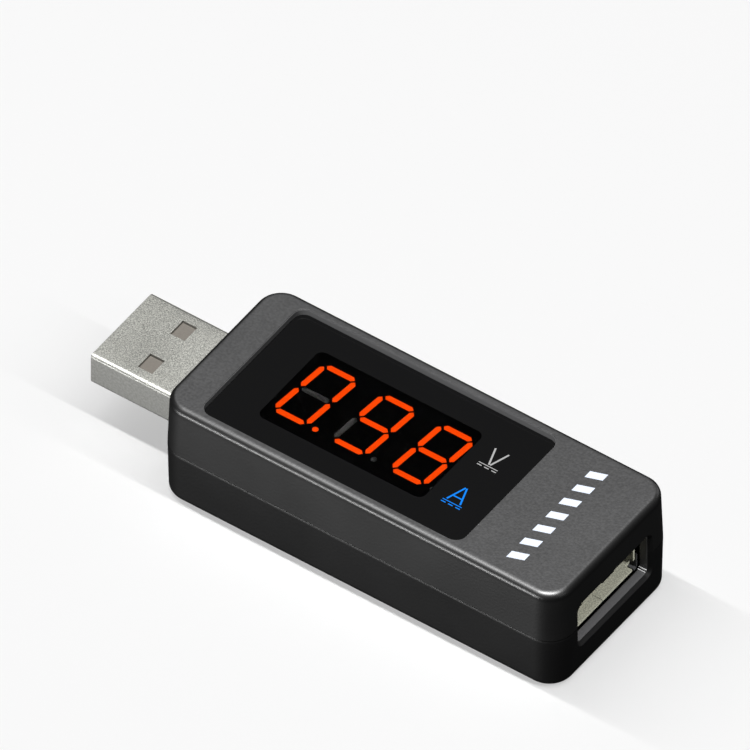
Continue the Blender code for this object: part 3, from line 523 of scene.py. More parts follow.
def brick(name, low, high, finish=None):
    """A box between two corners."""
    bm = bmesh.new()
    low, high = Vector(low), Vector(high)
    middle = (low + high) / 2
    bmesh.ops.create_cube(bm, size=1.0, matrix=Matrix.Translation(middle))
    for vert in bm.verts:
        vert.co = middle + Vector(a * b for a, b in zip(vert.co - middle, high - low))
    return finished_mesh(name, bm, finish)


def merged(name, pieces, finish):
    """Puts separate solids into one mesh."""
    bm = bmesh.new()
    for piece in pieces:
        bm.from_mesh(piece.data)
        bpy.data.objects.remove(piece)
    return finished_mesh(name, bm, finish)


def plain_mesh(piece):
    """What a piece's modifiers make of it, as a mesh without them."""
    ready = piece.evaluated_get(bpy.context.evaluated_depsgraph_get())
    return bpy.data.meshes.new_from_object(ready)


def carve(piece, tools, operation="DIFFERENCE"):
    """Cuts tools out of a piece, or joins them to it, and leaves a plain mesh."""
    for tool in tools:
        step = piece.modifiers.new(tool.name, "BOOLEAN")
        step.operation = operation
        step.solver = "EXACT"
        step.object = tool
    plain = plain_mesh(piece)
    piece.modifiers.clear()
    old, piece.data = piece.data, plain
    bpy.data.meshes.remove(old)
    for tool in tools:
        bpy.data.objects.remove(tool)
    return piece


def stand_for(piece, body, slot, *nodes):
    """The three calls that every finished piece needs."""
    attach(piece, body)
    if nodes:
        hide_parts(*nodes)
    print(piece.name, "has", len(piece.data.polygons), "faces")


print("points in a ring:", 4 * (CORNER_STEPS + 1))

# %% [markdown]
# ## The upper cover
#
# The outside leans in by a quarter of a millimetre towards the top, so that it leaves the
# mould. Its edge is one round fillet. The window lies in a recess, and the rim inside the
# parting line has a rebate for the lower cover's lip.

# %% Shape the upper cover
TOP_DRAFT = 0.25 * MM
TOP_FILLET = 0.89 * MM
SEAM = 0.06 * MM
SEAM_LEVEL = PARTING + 0.16 * MM
SEAM_ROUND = 0.003 * MM
FLAT_START = 0.03 * MM
REBATE_INSET = 0.75 * MM
REBATE_LEVEL = PARTING + 0.85 * MM
WINDOW_GAP = 0.08 * MM
RECESS_CORNER = 1.5 * MM
WINDOW_MIDDLE = ((window_low.x + window_high.x) / 2, 0.0)
WINDOW_HALF = ((window_high.x - window_low.x) / 2, (window_high.y - window_low.y) / 2)
FILLET_STEPS = 14
END = HOUSING_MIDDLE + HALF_LENGTH


def outer_ring(inset, level):
    """The housing's outline, inset from its widest place and at a level."""
    return rounded_ring((HOUSING_MIDDLE, 0.0), HALF_LENGTH - inset, HALF_WIDTH - inset,
                        CORNER - inset, level)


def fillet_rings(draft, radius, face, sign):
    """Rings from the leaning wall round to the flat face. sign is 1 for the top, -1 below."""
    lean = math.atan(draft / PARTING)
    centre_level = face - sign * radius
    wall_inset = draft * abs(centre_level - PARTING) / PARTING
    centre_inset = wall_inset + radius / math.cos(lean)
    rings = []
    for step in range(FILLET_STEPS + 1):
        tilt = (math.pi / 2 - lean) * (1 - step / FILLET_STEPS)
        inset = centre_inset - radius * math.sin(tilt)
        rings.append(outer_ring(inset, centre_level + sign * radius * math.cos(tilt)))
    rings.append(outer_ring(centre_inset + FLAT_START, face))
    return rings


def recess_ring(grow, level):
    """The recess's outline, a little larger than the window's."""
    half_x, half_y = (half + WINDOW_GAP + grow for half in WINDOW_HALF)
    return rounded_ring(WINDOW_MIDDLE, half_x, half_y, RECESS_CORNER + grow, level)


WINDOW_TOP = window_high.z
SEAT = window_low.z - 0.15 * MM  # the tape's thickness
CEILING = TOP - 2.4 * MM
LEDGE = ((2.1 * MM, 0.0), 15.7 * MM, 8.3 * MM)
RIM_ROUND = 0.03 * MM

upper_rings = [outer_ring(SEAM, SEAM_LEVEL), outer_ring(SEAM_ROUND, SEAM_LEVEL + SEAM)]
upper_rings += [outer_ring(2 * SEAM_ROUND, SEAM_LEVEL + 2 * SEAM)]
upper_rings += fillet_rings(TOP_DRAFT, TOP_FILLET, TOP, 1)
upper_rings += [recess_ring(RIM_ROUND + FLAT_START, TOP)]
for step in range(5):
    turn = math.radians(22.5 * step)
    grow = RIM_ROUND * (1 - math.sin(turn))
    upper_rings.append(recess_ring(grow, TOP - RIM_ROUND * (1 - math.cos(turn))))
upper_rings += [recess_ring(0.0, TOP - 0.12 * MM), recess_ring(0.0, SEAT)]
upper_rings += [rounded_ring(*LEDGE, MM, SEAT), rounded_ring(*LEDGE, MM, CEILING)]
upper_rings += [outer_ring(WALL + TOP_DRAFT, CEILING), outer_ring(WALL, REBATE_LEVEL)]
upper_rings += [outer_ring(REBATE_INSET, REBATE_LEVEL), outer_ring(REBATE_INSET, SEAM_LEVEL)]
upper_cover = loft("upper_cover", upper_rings, UPPER_PLASTIC, capped=False)

# %% [markdown]
# ## The openings in the ends
#
# The plug comes out of a close slot. The socket's mouth has a flared edge that guides a plug
# in. The cutters are lofts too, so that the mouth gets its rounded corners and its chamfer.

# %% Cut the ends
MOUTH = (6.85 * MM, 3.05 * MM, 0.75 * MM)
MOUTH_CHAMFER = 0.5 * MM
OVERCUT = 0.3 * MM
SLEEVE, BORE, PEG = 1.4 * MM, 0.8 * MM, 0.65 * MM
POST_PLACES = [(x * MM, y * MM) for x in (-17.0, 20.6) for y in (-8.2, 8.2)]


def upright_loft(name, outline, stations, finish=None, capped=True):
    """A loft along X. Each station is a place along X and how much the outline grows there."""
    half_y, half_z, radius = outline
    rings = [rounded_ring((0.0, PARTING), half_y + grow, half_z + grow, radius + grow, x, "X")
             for x, grow in stations]
    return loft(name, rings, finish, capped)


def end_cutters(prefix):
    """The plug's slot and the socket's flared mouth, as solids to cut away."""
    slot = (plug_high.y + 0.05 * MM, 2.3 * MM, 0.5 * MM)
    slot_stations = [(top_low.x - MM, 0.0), (top_low.x + 2.5 * MM, 0.0)]
    mouth_stations = [(END - 2.5 * MM, 0.0), (END - MOUTH_CHAMFER, 0.0),
                      (END + OVERCUT, MOUTH_CHAMFER + OVERCUT)]
    return [upright_loft(prefix + "_plug_slot", slot, slot_stations),
            upright_loft(prefix + "_mouth", MOUTH, mouth_stations)]


def post_rods(prefix, low, high, radius):
    """A rod at each of the four posts that hold the covers together."""
    return [rod(f"{prefix}_{n}", x, y, low, high, radius) for n, (x, y) in enumerate(POST_PLACES)]


sleeves = post_rods("sleeve", board_high.z + 0.05 * MM, CEILING + 0.4 * MM, SLEEVE)
carve(upper_cover, sleeves, "UNION")
carve(upper_cover, post_rods("bore", board_high.z - MM, CEILING - MM, BORE) + end_cutters("upper"))
upper_cover.data.set_sharp_from_angle(angle=SHARP_ANGLE)
stand_for(upper_cover, BODY, "upper_cover", "top_shell")

# %% [markdown]
# ## The lower cover
#
# It is the upper cover's tray: the same outline, a rounder edge underneath, and a lip that fits
# inside the upper rim. Its top edge leans in a little, which draws the light line that runs
# round the housing at the parting.

# %% Shape the lower cover
BOTTOM_DRAFT = 0.16 * MM
BOTTOM_FILLET = 1.0 * MM
LIP = 0.8 * MM
LIP_INSET = 0.8 * MM
LIP_BEVEL = 0.1 * MM
SEAM_SLOPE = 0.052 * MM
SEAM_TOP = SEAM_LEVEL - 0.01 * MM

lower_rings = fillet_rings(BOTTOM_DRAFT, BOTTOM_FILLET, 0.0, -1)[::-1]
lower_rings += [outer_ring(0.004 * MM, PARTING - 0.2 * MM), outer_ring(0.0, PARTING - 0.10 * MM)]
lower_rings += [outer_ring(SEAM_SLOPE, SEAM_TOP - 0.03 * MM), outer_ring(2 * SEAM_SLOPE, SEAM_TOP)]
lower_rings += [outer_ring(LIP_INSET, SEAM_TOP), outer_ring(LIP_INSET, PARTING + LIP - LIP_BEVEL)]
lower_rings += [outer_ring(LIP_INSET + LIP_BEVEL, PARTING + LIP)]
lower_rings += [outer_ring(WALL, PARTING + LIP), outer_ring(WALL + BOTTOM_DRAFT, WALL + 0.3 * MM)]
lower_rings += [outer_ring(WALL + BOTTOM_DRAFT + 0.3 * MM, WALL)]
lower_cover = loft("lower_cover", lower_rings, LOWER_PLASTIC)
posts = post_rods("post", WALL - 0.4 * MM, board_low.z - 0.05 * MM, SLEEVE)
pegs = post_rods("peg", WALL, board_high.z + 1.5 * MM, PEG)
carve(lower_cover, posts + pegs, "UNION")
carve(lower_cover, end_cutters("lower"))
lower_cover.data.set_sharp_from_angle(angle=SHARP_ANGLE)
stand_for(lower_cover, BODY, "lower_cover", "bottom_shell")

# %% [markdown]
# ## The mouth's liner
#
# The pocket in front of the socket is lined in a grey far paler than the cover, which is painted
# light in the pocket besides the mouth's own lamp, and the lining stops a little short of the
# flared edge. It is a thin sleeve, lofted as a tube: out along one side and back along the other.

# %% Line the mouth
LINER = 0.04 * MM
LINER_X = (socket_high.x + 0.28 * MM, END - MOUTH_CHAMFER - 0.02 * MM)


liner_stations = [(LINER_X[0], -0.01 * MM), (LINER_X[1], -0.01 * MM),
                  (LINER_X[1], -LINER), (LINER_X[0], -LINER)]
mouth_liner = upright_loft("mouth_liner", MOUTH, liner_stations, MOUTH_PAINTED_LIGHT, capped=False)
stand_for(mouth_liner, BODY, "lower_cover")

# %% [markdown]
# ## Small bars in the mouth
#
# Two bright bars on the far lower corner of the pocket are painted highlights: they draw the two
# highlight lines that the corner's fillet shows. A dark sill and an insert close the gap between
# the housing and the socket's shell, so that the board doesn't show past it; the insert is painted
# the same pale grey as the mouth's sleeve, which is painted light. The shell itself is rolled from
# sheet, and its seam runs along the floor and over the front edge. All of them are straight bars,
# so plain boxes are enough.

# %% Painted highlight bars, insert, sill and seam
HIGHLIGHT_X = (socket_high.x + 0.25 * MM, END - MOUTH_CHAMFER - 0.03 * MM)
INSERT_X = (socket_high.x - 1.2 * MM, socket_high.x - 0.05 * MM)
SEAM_X = (30.9 * MM, socket_high.x)
SEAM_FRONT_X = (socket_high.x - 0.01 * MM, socket_high.x + 0.01 * MM)


def mouth_bar(name, along, low, high, finish=None):
    """A bar between two places along X, from low to high, each a (y, z) in millimetres."""
    return brick(name, (along[0], low[0] * MM, low[1] * MM),
                 (along[1], high[0] * MM, high[1] * MM), finish)


# Two pale bars along the pocket's lower far corner, as painted highlights.
highlight_strokes = [mouth_bar("floor_rib", HIGHLIGHT_X, (6.40, 4.40), (6.52, 4.58)),
        mouth_bar("wall_rib", HIGHLIGHT_X, (6.62, 4.60), (6.74, 4.79))]
mouth_ribs = merged("mouth_ribs", highlight_strokes, HIGHLIGHT_PAINT)
stand_for(mouth_ribs, BODY, "socket_steel")
# The insert takes the same painted-light grey as the mouth's sleeve.
inserts = [mouth_bar("side_insert", INSERT_X, (6.57, 4.40), (6.82, 6.60)),
           mouth_bar("corner_insert", INSERT_X, (6.10, 4.38), (6.56, 4.62))]
mouth_insert = merged("mouth_insert", inserts, MOUTH_PAINTED_LIGHT)
stand_for(mouth_insert, BODY, "lower_cover")
mouth_sill = mouth_bar("mouth_sill", INSERT_X, (-6.50, 4.38), (6.05, 4.60), LOWER_PLASTIC)
stand_for(mouth_sill, BODY, "lower_cover")
seams = [mouth_bar("seam_floor", SEAM_X, (-0.13, 4.94), (-0.07, 4.962)),
         mouth_bar("seam_front", SEAM_FRONT_X, (-0.13, 4.66), (-0.07, 4.93))]
socket_seam = merged("socket_seam", seams, EPOXY)
stand_for(socket_seam, BODY, "socket_steel")

# %% [markdown]
# ## The window
#
# The window is one dark acrylic plate. Black ink covers all of its underside but a clear
# rectangle over the digits. The printed part is modelled as an opaque plate with an opening,
# and the clear part as smoked acrylic that fills the opening flush, so that the bars under it
# are really seen through it.

# %% Make the window
CLEAR_MIDDLE = (0.29 * MM, 0.0)
CLEAR_HALF = (11.35 * MM, 6.2 * MM)
CLEAR_RADIUS = 0.95 * MM
EDGE = 0.04 * MM
WINDOW_CORNER = 1.42 * MM
CLOSE_FIT = -0.005 * MM


def window_ring(inset, level):
    """The window's outline, inset and at a level."""
    half_x, half_y = (half - inset for half in WINDOW_HALF)
    return rounded_ring(WINDOW_MIDDLE, half_x, half_y, WINDOW_CORNER - inset, level)


def clear_ring(grow, level):
    """The clear rectangle's outline, grown and at a level."""
    return rounded_ring(CLEAR_MIDDLE, CLEAR_HALF[0] + grow, CLEAR_HALF[1] + grow,
                        CLEAR_RADIUS + grow, level)


panel_rings = [window_ring(0.0, window_low.z), window_ring(0.0, WINDOW_TOP - EDGE)]
panel_rings += [window_ring(EDGE, WINDOW_TOP)]
panel_rings += [clear_ring(0.0, WINDOW_TOP), clear_ring(0.0, window_low.z)]
window_panel = loft("window_panel", panel_rings, PANEL_BLACK, capped=False)
stand_for(window_panel, BODY, "smoked_window", "display_window")


# %% [markdown]
# ## Painted light on the recess's wall
#
# Between the window and the wall of its recess runs a narrow gap, whose wall catches the light as
# a thin grey line. A thin sleeve on that wall is painted a grey far paler than the cover, which is
# painted light, and it has a lamp of its own as well. It is kept out of reflections, so that it
# doesn't draw a second line in the window.

# %% Line the recess's wall with painted light
LINING = -0.06 * MM
LINING_LOW, LINING_HIGH = SEAT + 0.1 * MM, TOP - 0.10 * MM
lining_rings = [recess_ring(CLOSE_FIT, LINING_LOW), recess_ring(CLOSE_FIT, LINING_HIGH)]
lining_rings += [recess_ring(LINING, LINING_HIGH), recess_ring(LINING, LINING_LOW)]
recess_lining = loft("recess_lining", lining_rings, RECESS_PAINTED_LIGHT, capped=False)
recess_lining.visible_glossy = False
stand_for(recess_lining, BODY, "upper_cover")

# %% [markdown]
# ## The clear part
#
# Smoked acrylic is glass with a little colour and a very smooth surface. Its shader needs a
# constant roughness of nothing, because a varying one would blur the digits under it.

# %% Fill the window's opening
def smoked_acrylic():
    """A clear dark plastic that the digits show through."""
    made = grained("smoked_acrylic", (0.40, 0.40, 0.40), 0.05, tone=0.01, bump=0.0)
    shader = made.node_tree.nodes["Principled BSDF"]
    shader.inputs["Transmission Weight"].default_value = 1.0
    shader.inputs["IOR"].default_value = 1.45
    shader.inputs["Specular IOR Level"].default_value = 0.15
    for link in list(shader.inputs["Roughness"].links):
        made.node_tree.links.remove(link)
    shader.inputs["Roughness"].default_value = 0.0
    return made


clear_rings = [clear_ring(CLOSE_FIT, window_low.z), clear_ring(CLOSE_FIT, WINDOW_TOP)]
window_clear = loft("window_clear", clear_rings, smoked_acrylic())
stand_for(window_clear, BODY, "smoked_window")

# %% [markdown]
# ## The digits
#
# Each digit has seven bars and a point. A bar is one small outline with pointed ends, used
# twenty-one times, so Geometry Nodes place it: every point of a small guide mesh carries the
# bar's direction and length as attributes, and the tree lays a bar on each point. One tree
# makes the lit bars and the unlit ones.

# %% Digit layout
DIGIT_PITCH = 8.065 * MM
DIGIT_MIDDLE = Vector((0.49, 0.38)) * MM
DIGIT_WIDTH = 4.32 * MM
DIGIT_HEIGHT = 8.75 * MM
DIGIT_SLANT = 0.0903
BAR_WIDTH = 0.67 * MM
BAR_GAP = 0.25 * MM
POINT_RADIUS = 0.36 * MM
POINT_SHIFT = 1.31 * MM
BAR_TOP = case_high.z - 0.01 * MM
BAR_DEPTH = 0.5 * MM
LIT_BARS = ("abcdef", "abcdfg", "abcdefg")
LIT_POINTS = (True, False, False)
POINT_SIDES = 32


def digit_corner(digit, across, up):
    """A corner of a digit's slanted frame: across and up run from -0.5 to 0.5."""
    y = up * DIGIT_HEIGHT
    x = (digit - 1) * DIGIT_PITCH + across * DIGIT_WIDTH + y * DIGIT_SLANT
    return DIGIT_MIDDLE + Vector((x, y))


BAR_ENDS = {
    "a": ((-0.5, 0.5), (0.5, 0.5)),
    "b": ((0.5, 0.5), (0.5, 0.0)),
    "c": ((0.5, 0.0), (0.5, -0.5)),
    "d": ((-0.5, -0.5), (0.5, -0.5)),
    "e": ((-0.5, 0.0), (-0.5, -0.5)),
    "f": ((-0.5, 0.5), (-0.5, 0.0)),
    "g": ((-0.5, 0.0), (0.5, 0.0)),
}


def bar_outline(start, end):
    """A bar with pointed ends, a gap short of the two corners that it runs between."""
    along = (end - start).normalized()
    across = Vector((-along.y, along.x)) * BAR_WIDTH / 2
    start, end = start + along * BAR_GAP, end - along * BAR_GAP
    shoulder = along * BAR_WIDTH / 2
    return [start, start + shoulder - across, end - shoulder - across, end,
            end - shoulder + across, start + shoulder + across]


def prisms(name, outlines, high, depth, finish):
    """Flat outlines given a depth: one mesh with a solid for each."""
    bm = bmesh.new()
    for outline in outlines:
        top = [bm.verts.new((p.x, p.y, high)) for p in outline]
        low = [bm.verts.new((p.x, p.y, high - depth)) for p in outline]
        bm.faces.new(top)
        bm.faces.new(low[::-1])
        for i in range(len(top)):
            j = (i + 1) % len(top)
            bm.faces.new((top[j], top[i], low[i], low[j]))
    bmesh.ops.recalc_face_normals(bm, faces=bm.faces)
    return finished_mesh(name, bm, finish)


def point_outline(digit):
    """The round decimal point at a digit's lower right."""
    middle = digit_corner(digit, 0.5, -0.5) + Vector((POINT_SHIFT, 0.0))
    turns = [2 * math.pi * k / POINT_SIDES for k in range(POINT_SIDES)]
    return [middle + POINT_RADIUS * Vector((math.cos(t), math.sin(t))) for t in turns]


print("bars:", 3 * len(BAR_ENDS), "of them lit:", sum(len(bars) for bars in LIT_BARS))

# %% [markdown]
# ## A tree that lays bars
#
# The tree has two named inputs, the bar to lay and its finish. Named Attribute nodes read each
# point's turn and stretch, Instance on Points lays the bars, and Realize Instances makes them
# real, because instances are lost when the model is exported.

# %% A tree that lays bars on points


def end_tree(tree, instances, given=None, material=None):
    """Ends a tree: instances made real, then given their finish."""
    nodes, links = tree.nodes, tree.links
    real = nodes.new("GeometryNodeRealizeInstances")
    links.new(instances, real.inputs["Geometry"])
    finish = nodes.new("GeometryNodeSetMaterial")
    finish.inputs["Material"].default_value = material
    if given:
        links.new(given, finish.inputs["Material"])
    links.new(real.outputs["Geometry"], finish.inputs["Geometry"])
    links.new(finish.outputs["Geometry"], nodes.new("NodeGroupOutput").inputs["Geometry"])
    return tree


def bar_tree():
    """Lays the Bar object on every point, turned and stretched by the point's own attributes."""
    tree = bpy.data.node_groups.new("bars_on_points", "GeometryNodeTree")
    for name, kind in (("Geometry", "Geometry"), ("Bar", "Object"), ("Finish", "Material")):
        tree.interface.new_socket(name, in_out="INPUT", socket_type="NodeSocket" + kind)
    tree.interface.new_socket("Geometry", in_out="OUTPUT", socket_type="NodeSocketGeometry")
    nodes, links = tree.nodes, tree.links
    given = nodes.new("NodeGroupInput")
    bar = nodes.new("GeometryNodeObjectInfo")
    links.new(given.outputs["Bar"], bar.inputs["Object"])
    lay = nodes.new("GeometryNodeInstanceOnPoints")
    links.new(given.outputs["Geometry"], lay.inputs["Points"])
    links.new(bar.outputs["Geometry"], lay.inputs["Instance"])
    for attribute, axis, port in (("turn", "Z", "Rotation"), ("stretch", "X", "Scale")):
        carried = nodes.new("GeometryNodeInputNamedAttribute")
        carried.inputs["Name"].default_value = attribute
        vector = nodes.new("ShaderNodeCombineXYZ")
        if port == "Scale":
            vector.inputs["Y"].default_value = vector.inputs["Z"].default_value = 1.0
        links.new(carried.outputs["Attribute"], vector.inputs[axis])
        links.new(vector.outputs["Vector"], lay.inputs[port])
    return end_tree(tree, lay.outputs["Instances"], given=given.outputs["Finish"])


def from_tree(name, tree, settings, finish, guide=None):
    """Runs a Geometry Nodes tree on a guide mesh and keeps the result as a plain mesh."""
    holder = bpy.data.objects.new(name, guide or bpy.data.meshes.new(name + "_guide"))
    scene.collection.objects.link(holder)
    step = holder.modifiers.new(name, "NODES")
    step.node_group = tree
    for port in tree.interface.items_tree:
        if port.in_out == "INPUT" and port.name in settings:
            step[port.identifier] = settings[port.name]
    plain = plain_mesh(holder)
    holder.modifiers.clear()
    holder.data = plain
    plain.materials.clear()
    plain.materials.append(finish)
    return holder


bars_on_points = bar_tree()
print("tree:", bars_on_points.name, "with", len(bars_on_points.nodes), "nodes")

# %% [markdown]
# ## Lit and unlit bars
#
# The lit bars and the unlit ones are two pieces, because they have two finishes. Their guides
# differ only in which bars they hold. The stamp is a bar as long as a digit is wide, and it is
# thrown away once both are laid.

# %% Lay the bars
half_bar = Vector((DIGIT_WIDTH / 2, 0.0))
stamp = prisms("bar_stamp", [bar_outline(-half_bar, half_bar)], 0.0, BAR_DEPTH, None)


def bar_guide(name, wanted):
    """A point for each bar, with its turn and its length against the stamp's as attributes."""
    places, turns, lengths = [], [], []
    for digit in range(3):
        for bar, ends in BAR_ENDS.items():
            if (bar in LIT_BARS[digit]) == wanted:
                start, end = (digit_corner(digit, *e) for e in ends)
                places.append((*((start + end) / 2), BAR_TOP))
                turns.append(math.atan2(end.y - start.y, end.x - start.x))
                lengths.append((end - start).length / DIGIT_WIDTH)
    guide = bpy.data.meshes.new(name)
    guide.from_pydata(places, [], [])
    guide.attributes.new("turn", "FLOAT", "POINT").data.foreach_set("value", turns)
    guide.attributes.new("stretch", "FLOAT", "POINT").data.foreach_set("value", lengths)
    return guide


def segments(name, wanted, finish):
    """The bars and points that are lit, or the ones that aren't, as one piece."""
    settings = {"Bar": stamp, "Finish": finish}
    guide = bar_guide(name + "_guide", wanted)
    bars = from_tree(name + "_laid", bars_on_points, settings, finish, guide)
    dots = [point_outline(digit) for digit in range(3) if LIT_POINTS[digit] == wanted]
    return merged(name, [bars, prisms(name + "_dots", dots, BAR_TOP, BAR_DEPTH, finish)], finish)


lit_bars = segments("lit_bars", True, LIT_AMBER)
unlit_bars = segments("unlit_bars", False, UNLIT)
bpy.data.objects.remove(stamp)
stand_for(lit_bars, BODY, "lit_amber", "display_light_guide")
stand_for(unlit_bars, BODY, "display_diffuser")

# %% [markdown]
# ## The unit symbols
#
# V and A with the direct-current sign, a line over three dashes, stand beside the digits. On the
# real meter they glow through the ink. Here each stroke is a thin bar between two points, which
# stands a hair above the window, so that no ink has to be cut.

# %% Unit symbols
SYMBOL_LIFT = 0.012 * MM
SYMBOL_DEPTH = 0.02 * MM
# From here to the strokes, everything is in millimetres.
SIGN_X = 14.81
SIGN_WIDTH = 2.58
SIGN_LINE, DASH_LINE = 0.10, 0.12
DASH = 0.62
DASH_DROP = 0.35
V_TOP, V_FOOT, V_SIGN, V_LINE = 5.13, 2.62, 2.37, 0.21
A_TOP, A_FOOT, A_SIGN, A_LINE = -1.86, -4.38, -4.63, 0.20
CROSSBAR, CROSSBAR_HALF, CROSSBAR_LINE = -3.58, 0.6, 0.17
LETTER_HALF, LETTER_TIP = 0.92, 0.09


def stroke(start, end, width):
    """A straight stroke's outline, from millimetres."""
    start, end = Vector(start) * MM, Vector(end) * MM
    along = (end - start).normalized()
    across = Vector((-along.y, along.x)) * width * MM / 2
    return [start - across, end - across, end + across, start + across]


def legs(wide_level, tip_level, width):
    """The two slanted strokes that V and A share."""
    return [stroke((SIGN_X + side * LETTER_HALF, wide_level),
                   (SIGN_X + side * LETTER_TIP, tip_level), width) for side in (-1, 1)]


def direct_current_sign(x, y):
    """A line over three dashes, centred on x with the line at y."""
    strokes = [stroke((x - SIGN_WIDTH / 2, y), (x + SIGN_WIDTH / 2, y), SIGN_LINE)]
    level = y - DASH_DROP
    for n in (-1, 0, 1):
        middle = x + n * (SIGN_WIDTH - DASH) / 2
        strokes.append(stroke((middle - DASH / 2, level), (middle + DASH / 2, level), DASH_LINE))
    return strokes


crossbar = stroke((SIGN_X - CROSSBAR_HALF, CROSSBAR), (SIGN_X + CROSSBAR_HALF, CROSSBAR),
                  CROSSBAR_LINE)
volt_strokes = legs(V_TOP, V_FOOT, V_LINE) + direct_current_sign(SIGN_X, V_SIGN)
amp_strokes = legs(A_FOOT, A_TOP, A_LINE) + [crossbar] + direct_current_sign(SIGN_X, A_SIGN)
symbol_top = WINDOW_TOP + SYMBOL_LIFT
volt_sign = prisms("volt_sign", volt_strokes, symbol_top, SYMBOL_DEPTH, LIT_WHITE)
amp_sign = prisms("amp_sign", amp_strokes, symbol_top, SYMBOL_DEPTH, LIT_BLUE)
stand_for(volt_sign, BODY, "lit_white")
stand_for(amp_sign, BODY, "lit_blue")

# %% [markdown]
# ## The printed mark
#
# Beyond the window is a row of slanted white bars, of no letter's shape. A repeated shape on a
# line is the plainest use of Geometry Nodes: a line of points, one bar on each. The slant is
# added afterwards, by a small shear of the finished mesh.

# %% Print the mark
MARK_MIDDLE = (26.04 * MM, -0.05 * MM)
MARK_LENGTH = 16.3 * MM
MARK_HEIGHT = 2.0 * MM
MARK_BAR = 1.1 * MM
MARK_DEPTH = 0.03 * MM
MARK_LIFT = 0.006 * MM
MARK_SLANT = 0.35
MARK_BARS = 7


def mark_tree():
    """Lays a row of bars along Y. Its inputs are the row's length, the bar's sizes and a count."""
    tree = bpy.data.node_groups.new("row_of_bars", "GeometryNodeTree")
    ports = tree.interface
    ports.new_socket("Geometry", in_out="OUTPUT", socket_type="NodeSocketGeometry")
    sizes = {"Length": MARK_LENGTH, "Bar Length": MARK_BAR, "Bar Height": MARK_HEIGHT}
    for name, value in sizes.items():
        port = ports.new_socket(name, in_out="INPUT", socket_type="NodeSocketFloat")
        port.default_value = value
    count = ports.new_socket("Count", in_out="INPUT", socket_type="NodeSocketInt")
    count.default_value = MARK_BARS
    nodes, links = tree.nodes, tree.links
    given = nodes.new("NodeGroupInput")

    bar = nodes.new("GeometryNodeMeshCube")
    size = nodes.new("ShaderNodeCombineXYZ")
    size.inputs["Z"].default_value = MARK_DEPTH
    for name, axis in (("Bar Height", "X"), ("Bar Length", "Y")):
        links.new(given.outputs[name], size.inputs[axis])
    links.new(size.outputs["Vector"], bar.inputs["Size"])

    line = nodes.new("GeometryNodeCurvePrimitiveLine")
    for share, port in ((-0.5, "Start"), (0.5, "End")):
        half = nodes.new("ShaderNodeMath")
        half.operation = "MULTIPLY"
        half.inputs[1].default_value = share
        links.new(given.outputs["Length"], half.inputs[0])
        end = nodes.new("ShaderNodeCombineXYZ")
        links.new(half.outputs["Value"], end.inputs["Y"])
        links.new(end.outputs["Vector"], line.inputs[port])
    points = nodes.new("GeometryNodeCurveToPoints")
    points.mode = "COUNT"
    links.new(line.outputs["Curve"], points.inputs["Curve"])
    links.new(given.outputs["Count"], points.inputs["Count"])
    lay = nodes.new("GeometryNodeInstanceOnPoints")
    links.new(points.outputs["Points"], lay.inputs["Points"])
    links.new(bar.outputs["Mesh"], lay.inputs["Instance"])
    return end_tree(tree, lay.outputs["Instances"], material=INK)


mark = from_tree("printed_mark", mark_tree(), {"Length": MARK_LENGTH - MARK_BAR}, INK)
for vert in mark.data.vertices:
    vert.co.y += vert.co.x * MARK_SLANT
    vert.co += Vector((*MARK_MIDDLE, TOP + MARK_LIFT))
stand_for(mark, BODY, "white_print")

# %% [markdown]
# ## The plug's shell
#
# The shell is 0.3 mm sheet folded into a tube, with its long edges rounded by the fold, blasted
# to a fine speckle, and with two latch holes on each face.

# %% Fold the plug's shell
SHEET = 0.3 * MM
PLUG_HALF = (plug_high.y, 2.25 * MM)
PLUG_END = plug_high.x
FOLD = 0.50 * MM
LEAST_FOLD = 0.12 * MM
TIP_EDGE = 0.05 * MM
LEG_START, LEG_LENGTH = 16.6 * MM, 1.4 * MM
FACE_TILT = 0.6


def sheet_ring(inset, x):
    """The plug's outline, inset and at a place along X."""
    half_y, half_z = PLUG_HALF
    radius = max(FOLD - inset, LEAST_FOLD)
    return rounded_ring((0.0, PARTING), half_y - inset, half_z - inset, radius, x, "X")


def plug_blocks(prefix, start, length, across, up):
    """Four blocks, left and right on both faces of the plug, from sizes in millimetres."""
    blocks = []
    for n, (side_y, side_z) in enumerate(((-1, -1), (-1, 1), (1, -1), (1, 1))):
        y = sorted(side_y * size * MM for size in across)
        z = sorted(PARTING + side_z * size * MM for size in up)
        x = plug_low.x + start * MM
        blocks.append(brick(f"{prefix}_{n}", (x, y[0], z[0]), (x + length * MM, y[1], z[1])))
    return blocks


plug_rings = [sheet_ring(TIP_EDGE, plug_low.x), sheet_ring(0.0, plug_low.x + TIP_EDGE)]
plug_rings += [sheet_ring(0.0, plug_low.x + 3 * TIP_EDGE)]
plug_rings += [sheet_ring(0.0, PLUG_END), sheet_ring(SHEET, PLUG_END)]
plug_rings += [sheet_ring(SHEET, plug_low.x + TIP_EDGE), sheet_ring(SHEET - TIP_EDGE, plug_low.x)]
plug_sheet = loft("plug_sheet", plug_rings, PLUG_METAL, capped=False)

solder_legs = []
for n, side in enumerate((-1, 1)):
    y = sorted((side * plug_high.y, side * (plug_high.y - SHEET)))
    x = plug_low.x + LEG_START
    corners = (x, y[0], plug_low.z), (x + LEG_LENGTH, y[1], PARTING)
    solder_legs.append(brick(f"plug_leg_{n}", *corners))
carve(plug_sheet, solder_legs, "UNION")
carve(plug_sheet, plug_blocks("latch_hole", 5.35, 2.0, (1.9, 4.4), (1.5, 3.2)))
plug_sheet.data.set_sharp_from_angle(angle=SHARP_ANGLE)
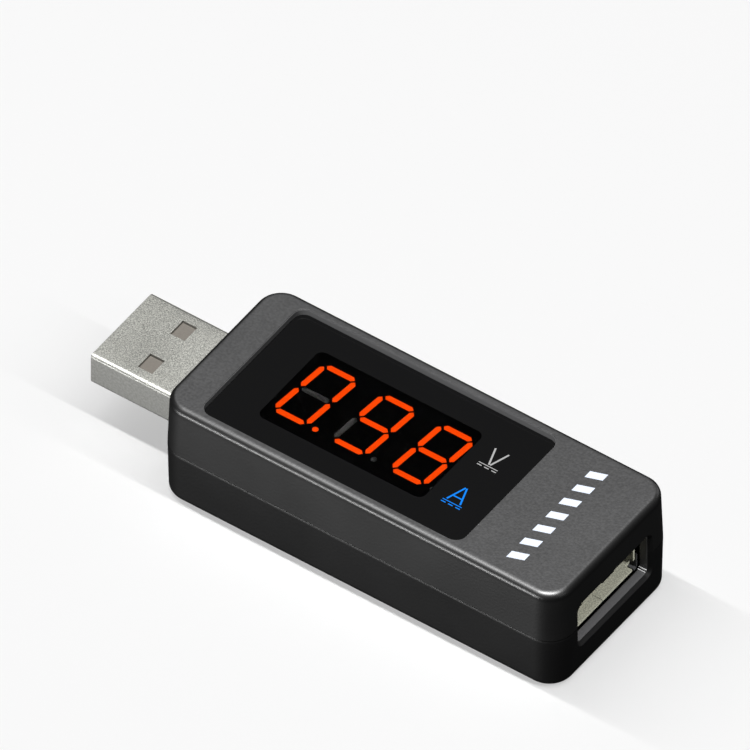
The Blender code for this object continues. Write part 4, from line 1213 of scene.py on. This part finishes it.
# The side faces take the darker copy of the nickel, which is painted shade.
plug_sheet.data.materials.append(PLUG_SHADED_SIDE_METAL)
for face in plug_sheet.data.polygons:
    face.material_index = int(abs(face.normal.z) < FACE_TILT)
stand_for(plug_sheet, BODY, "plug_steel", "plug_shell")

# %% [markdown]
# ## Behind the latch holes
#
# Through each latch hole shows the insulator's warm surface, close under the sheet and in its
# shade. A thin plate behind each hole gives it the insulator's hue darkened to a third, which is
# painted shade, and it stops the eye from looking into the plug.

# %% Back the latch holes
backings = plug_blocks("backing", 5.1, 2.5, (1.7, 4.6), (1.72, 1.86))
latch_backings = merged("latch_backings", backings, HOLE_SHADE)
stand_for(latch_backings, BODY, "white_insulator")

# %% [markdown]
# ## Finishes for the carried-over pieces
#
# The inner pieces already have their right shapes in the frame, so each one only needs its real
# finish. The record says which slot a node takes its finish from, and that picks the material.

# %% Give each remaining node its finish
FINISH_OF = {
    "black_tape": FOAM, "display_black": DISPLAY_BLACK, "display_diffuser": MILKY,
    "board": MASK_GREEN, "chip_black": EPOXY, "resistor_black": FILM,
    "capacitor_tan": CERAMIC, "lamp_white": RESIN, "socket_steel": SOCKET_METAL,
    "white_insulator": POLYMER, "gold_contact": GOLD, "tinned_pin": TIN,
    "upper_cover": UPPER_PLASTIC, "lower_cover": LOWER_PLASTIC,
    "smoked_window": PANEL_BLACK, "plug_steel": PLUG_METAL,
}
slot_of = {part["node"]: part["material_slot"] for part in frame["record"]["subparts"]}
for name, node in frame["nodes"].items():
    finish = FINISH_OF[slot_of[name]]
    if node.data.materials:
        for index in range(len(node.data.materials)):
            node.data.materials[index] = finish
    else:
        node.data.materials.append(finish)
print("finished nodes:", len(frame["nodes"]))

# %% [markdown]
# ## Lamps for single pieces
#
# The socket's inside is deep, the recess's wall is upright, and the plug's side turns away from
# both big lamps. Each of them gets a lamp of its own, and light linking keeps that lamp off
# everything else.

# %% Tie the small lamps to their pieces
mouth_pieces = [node for name, node in frame["nodes"].items() if name.startswith("socket_")]
light_only(mouth_lamp, mouth_pieces + [mouth_liner, mouth_ribs, mouth_insert])
light_only(plug_lamp, [plug_sheet])
light_only(recess_lamp, [recess_lining])
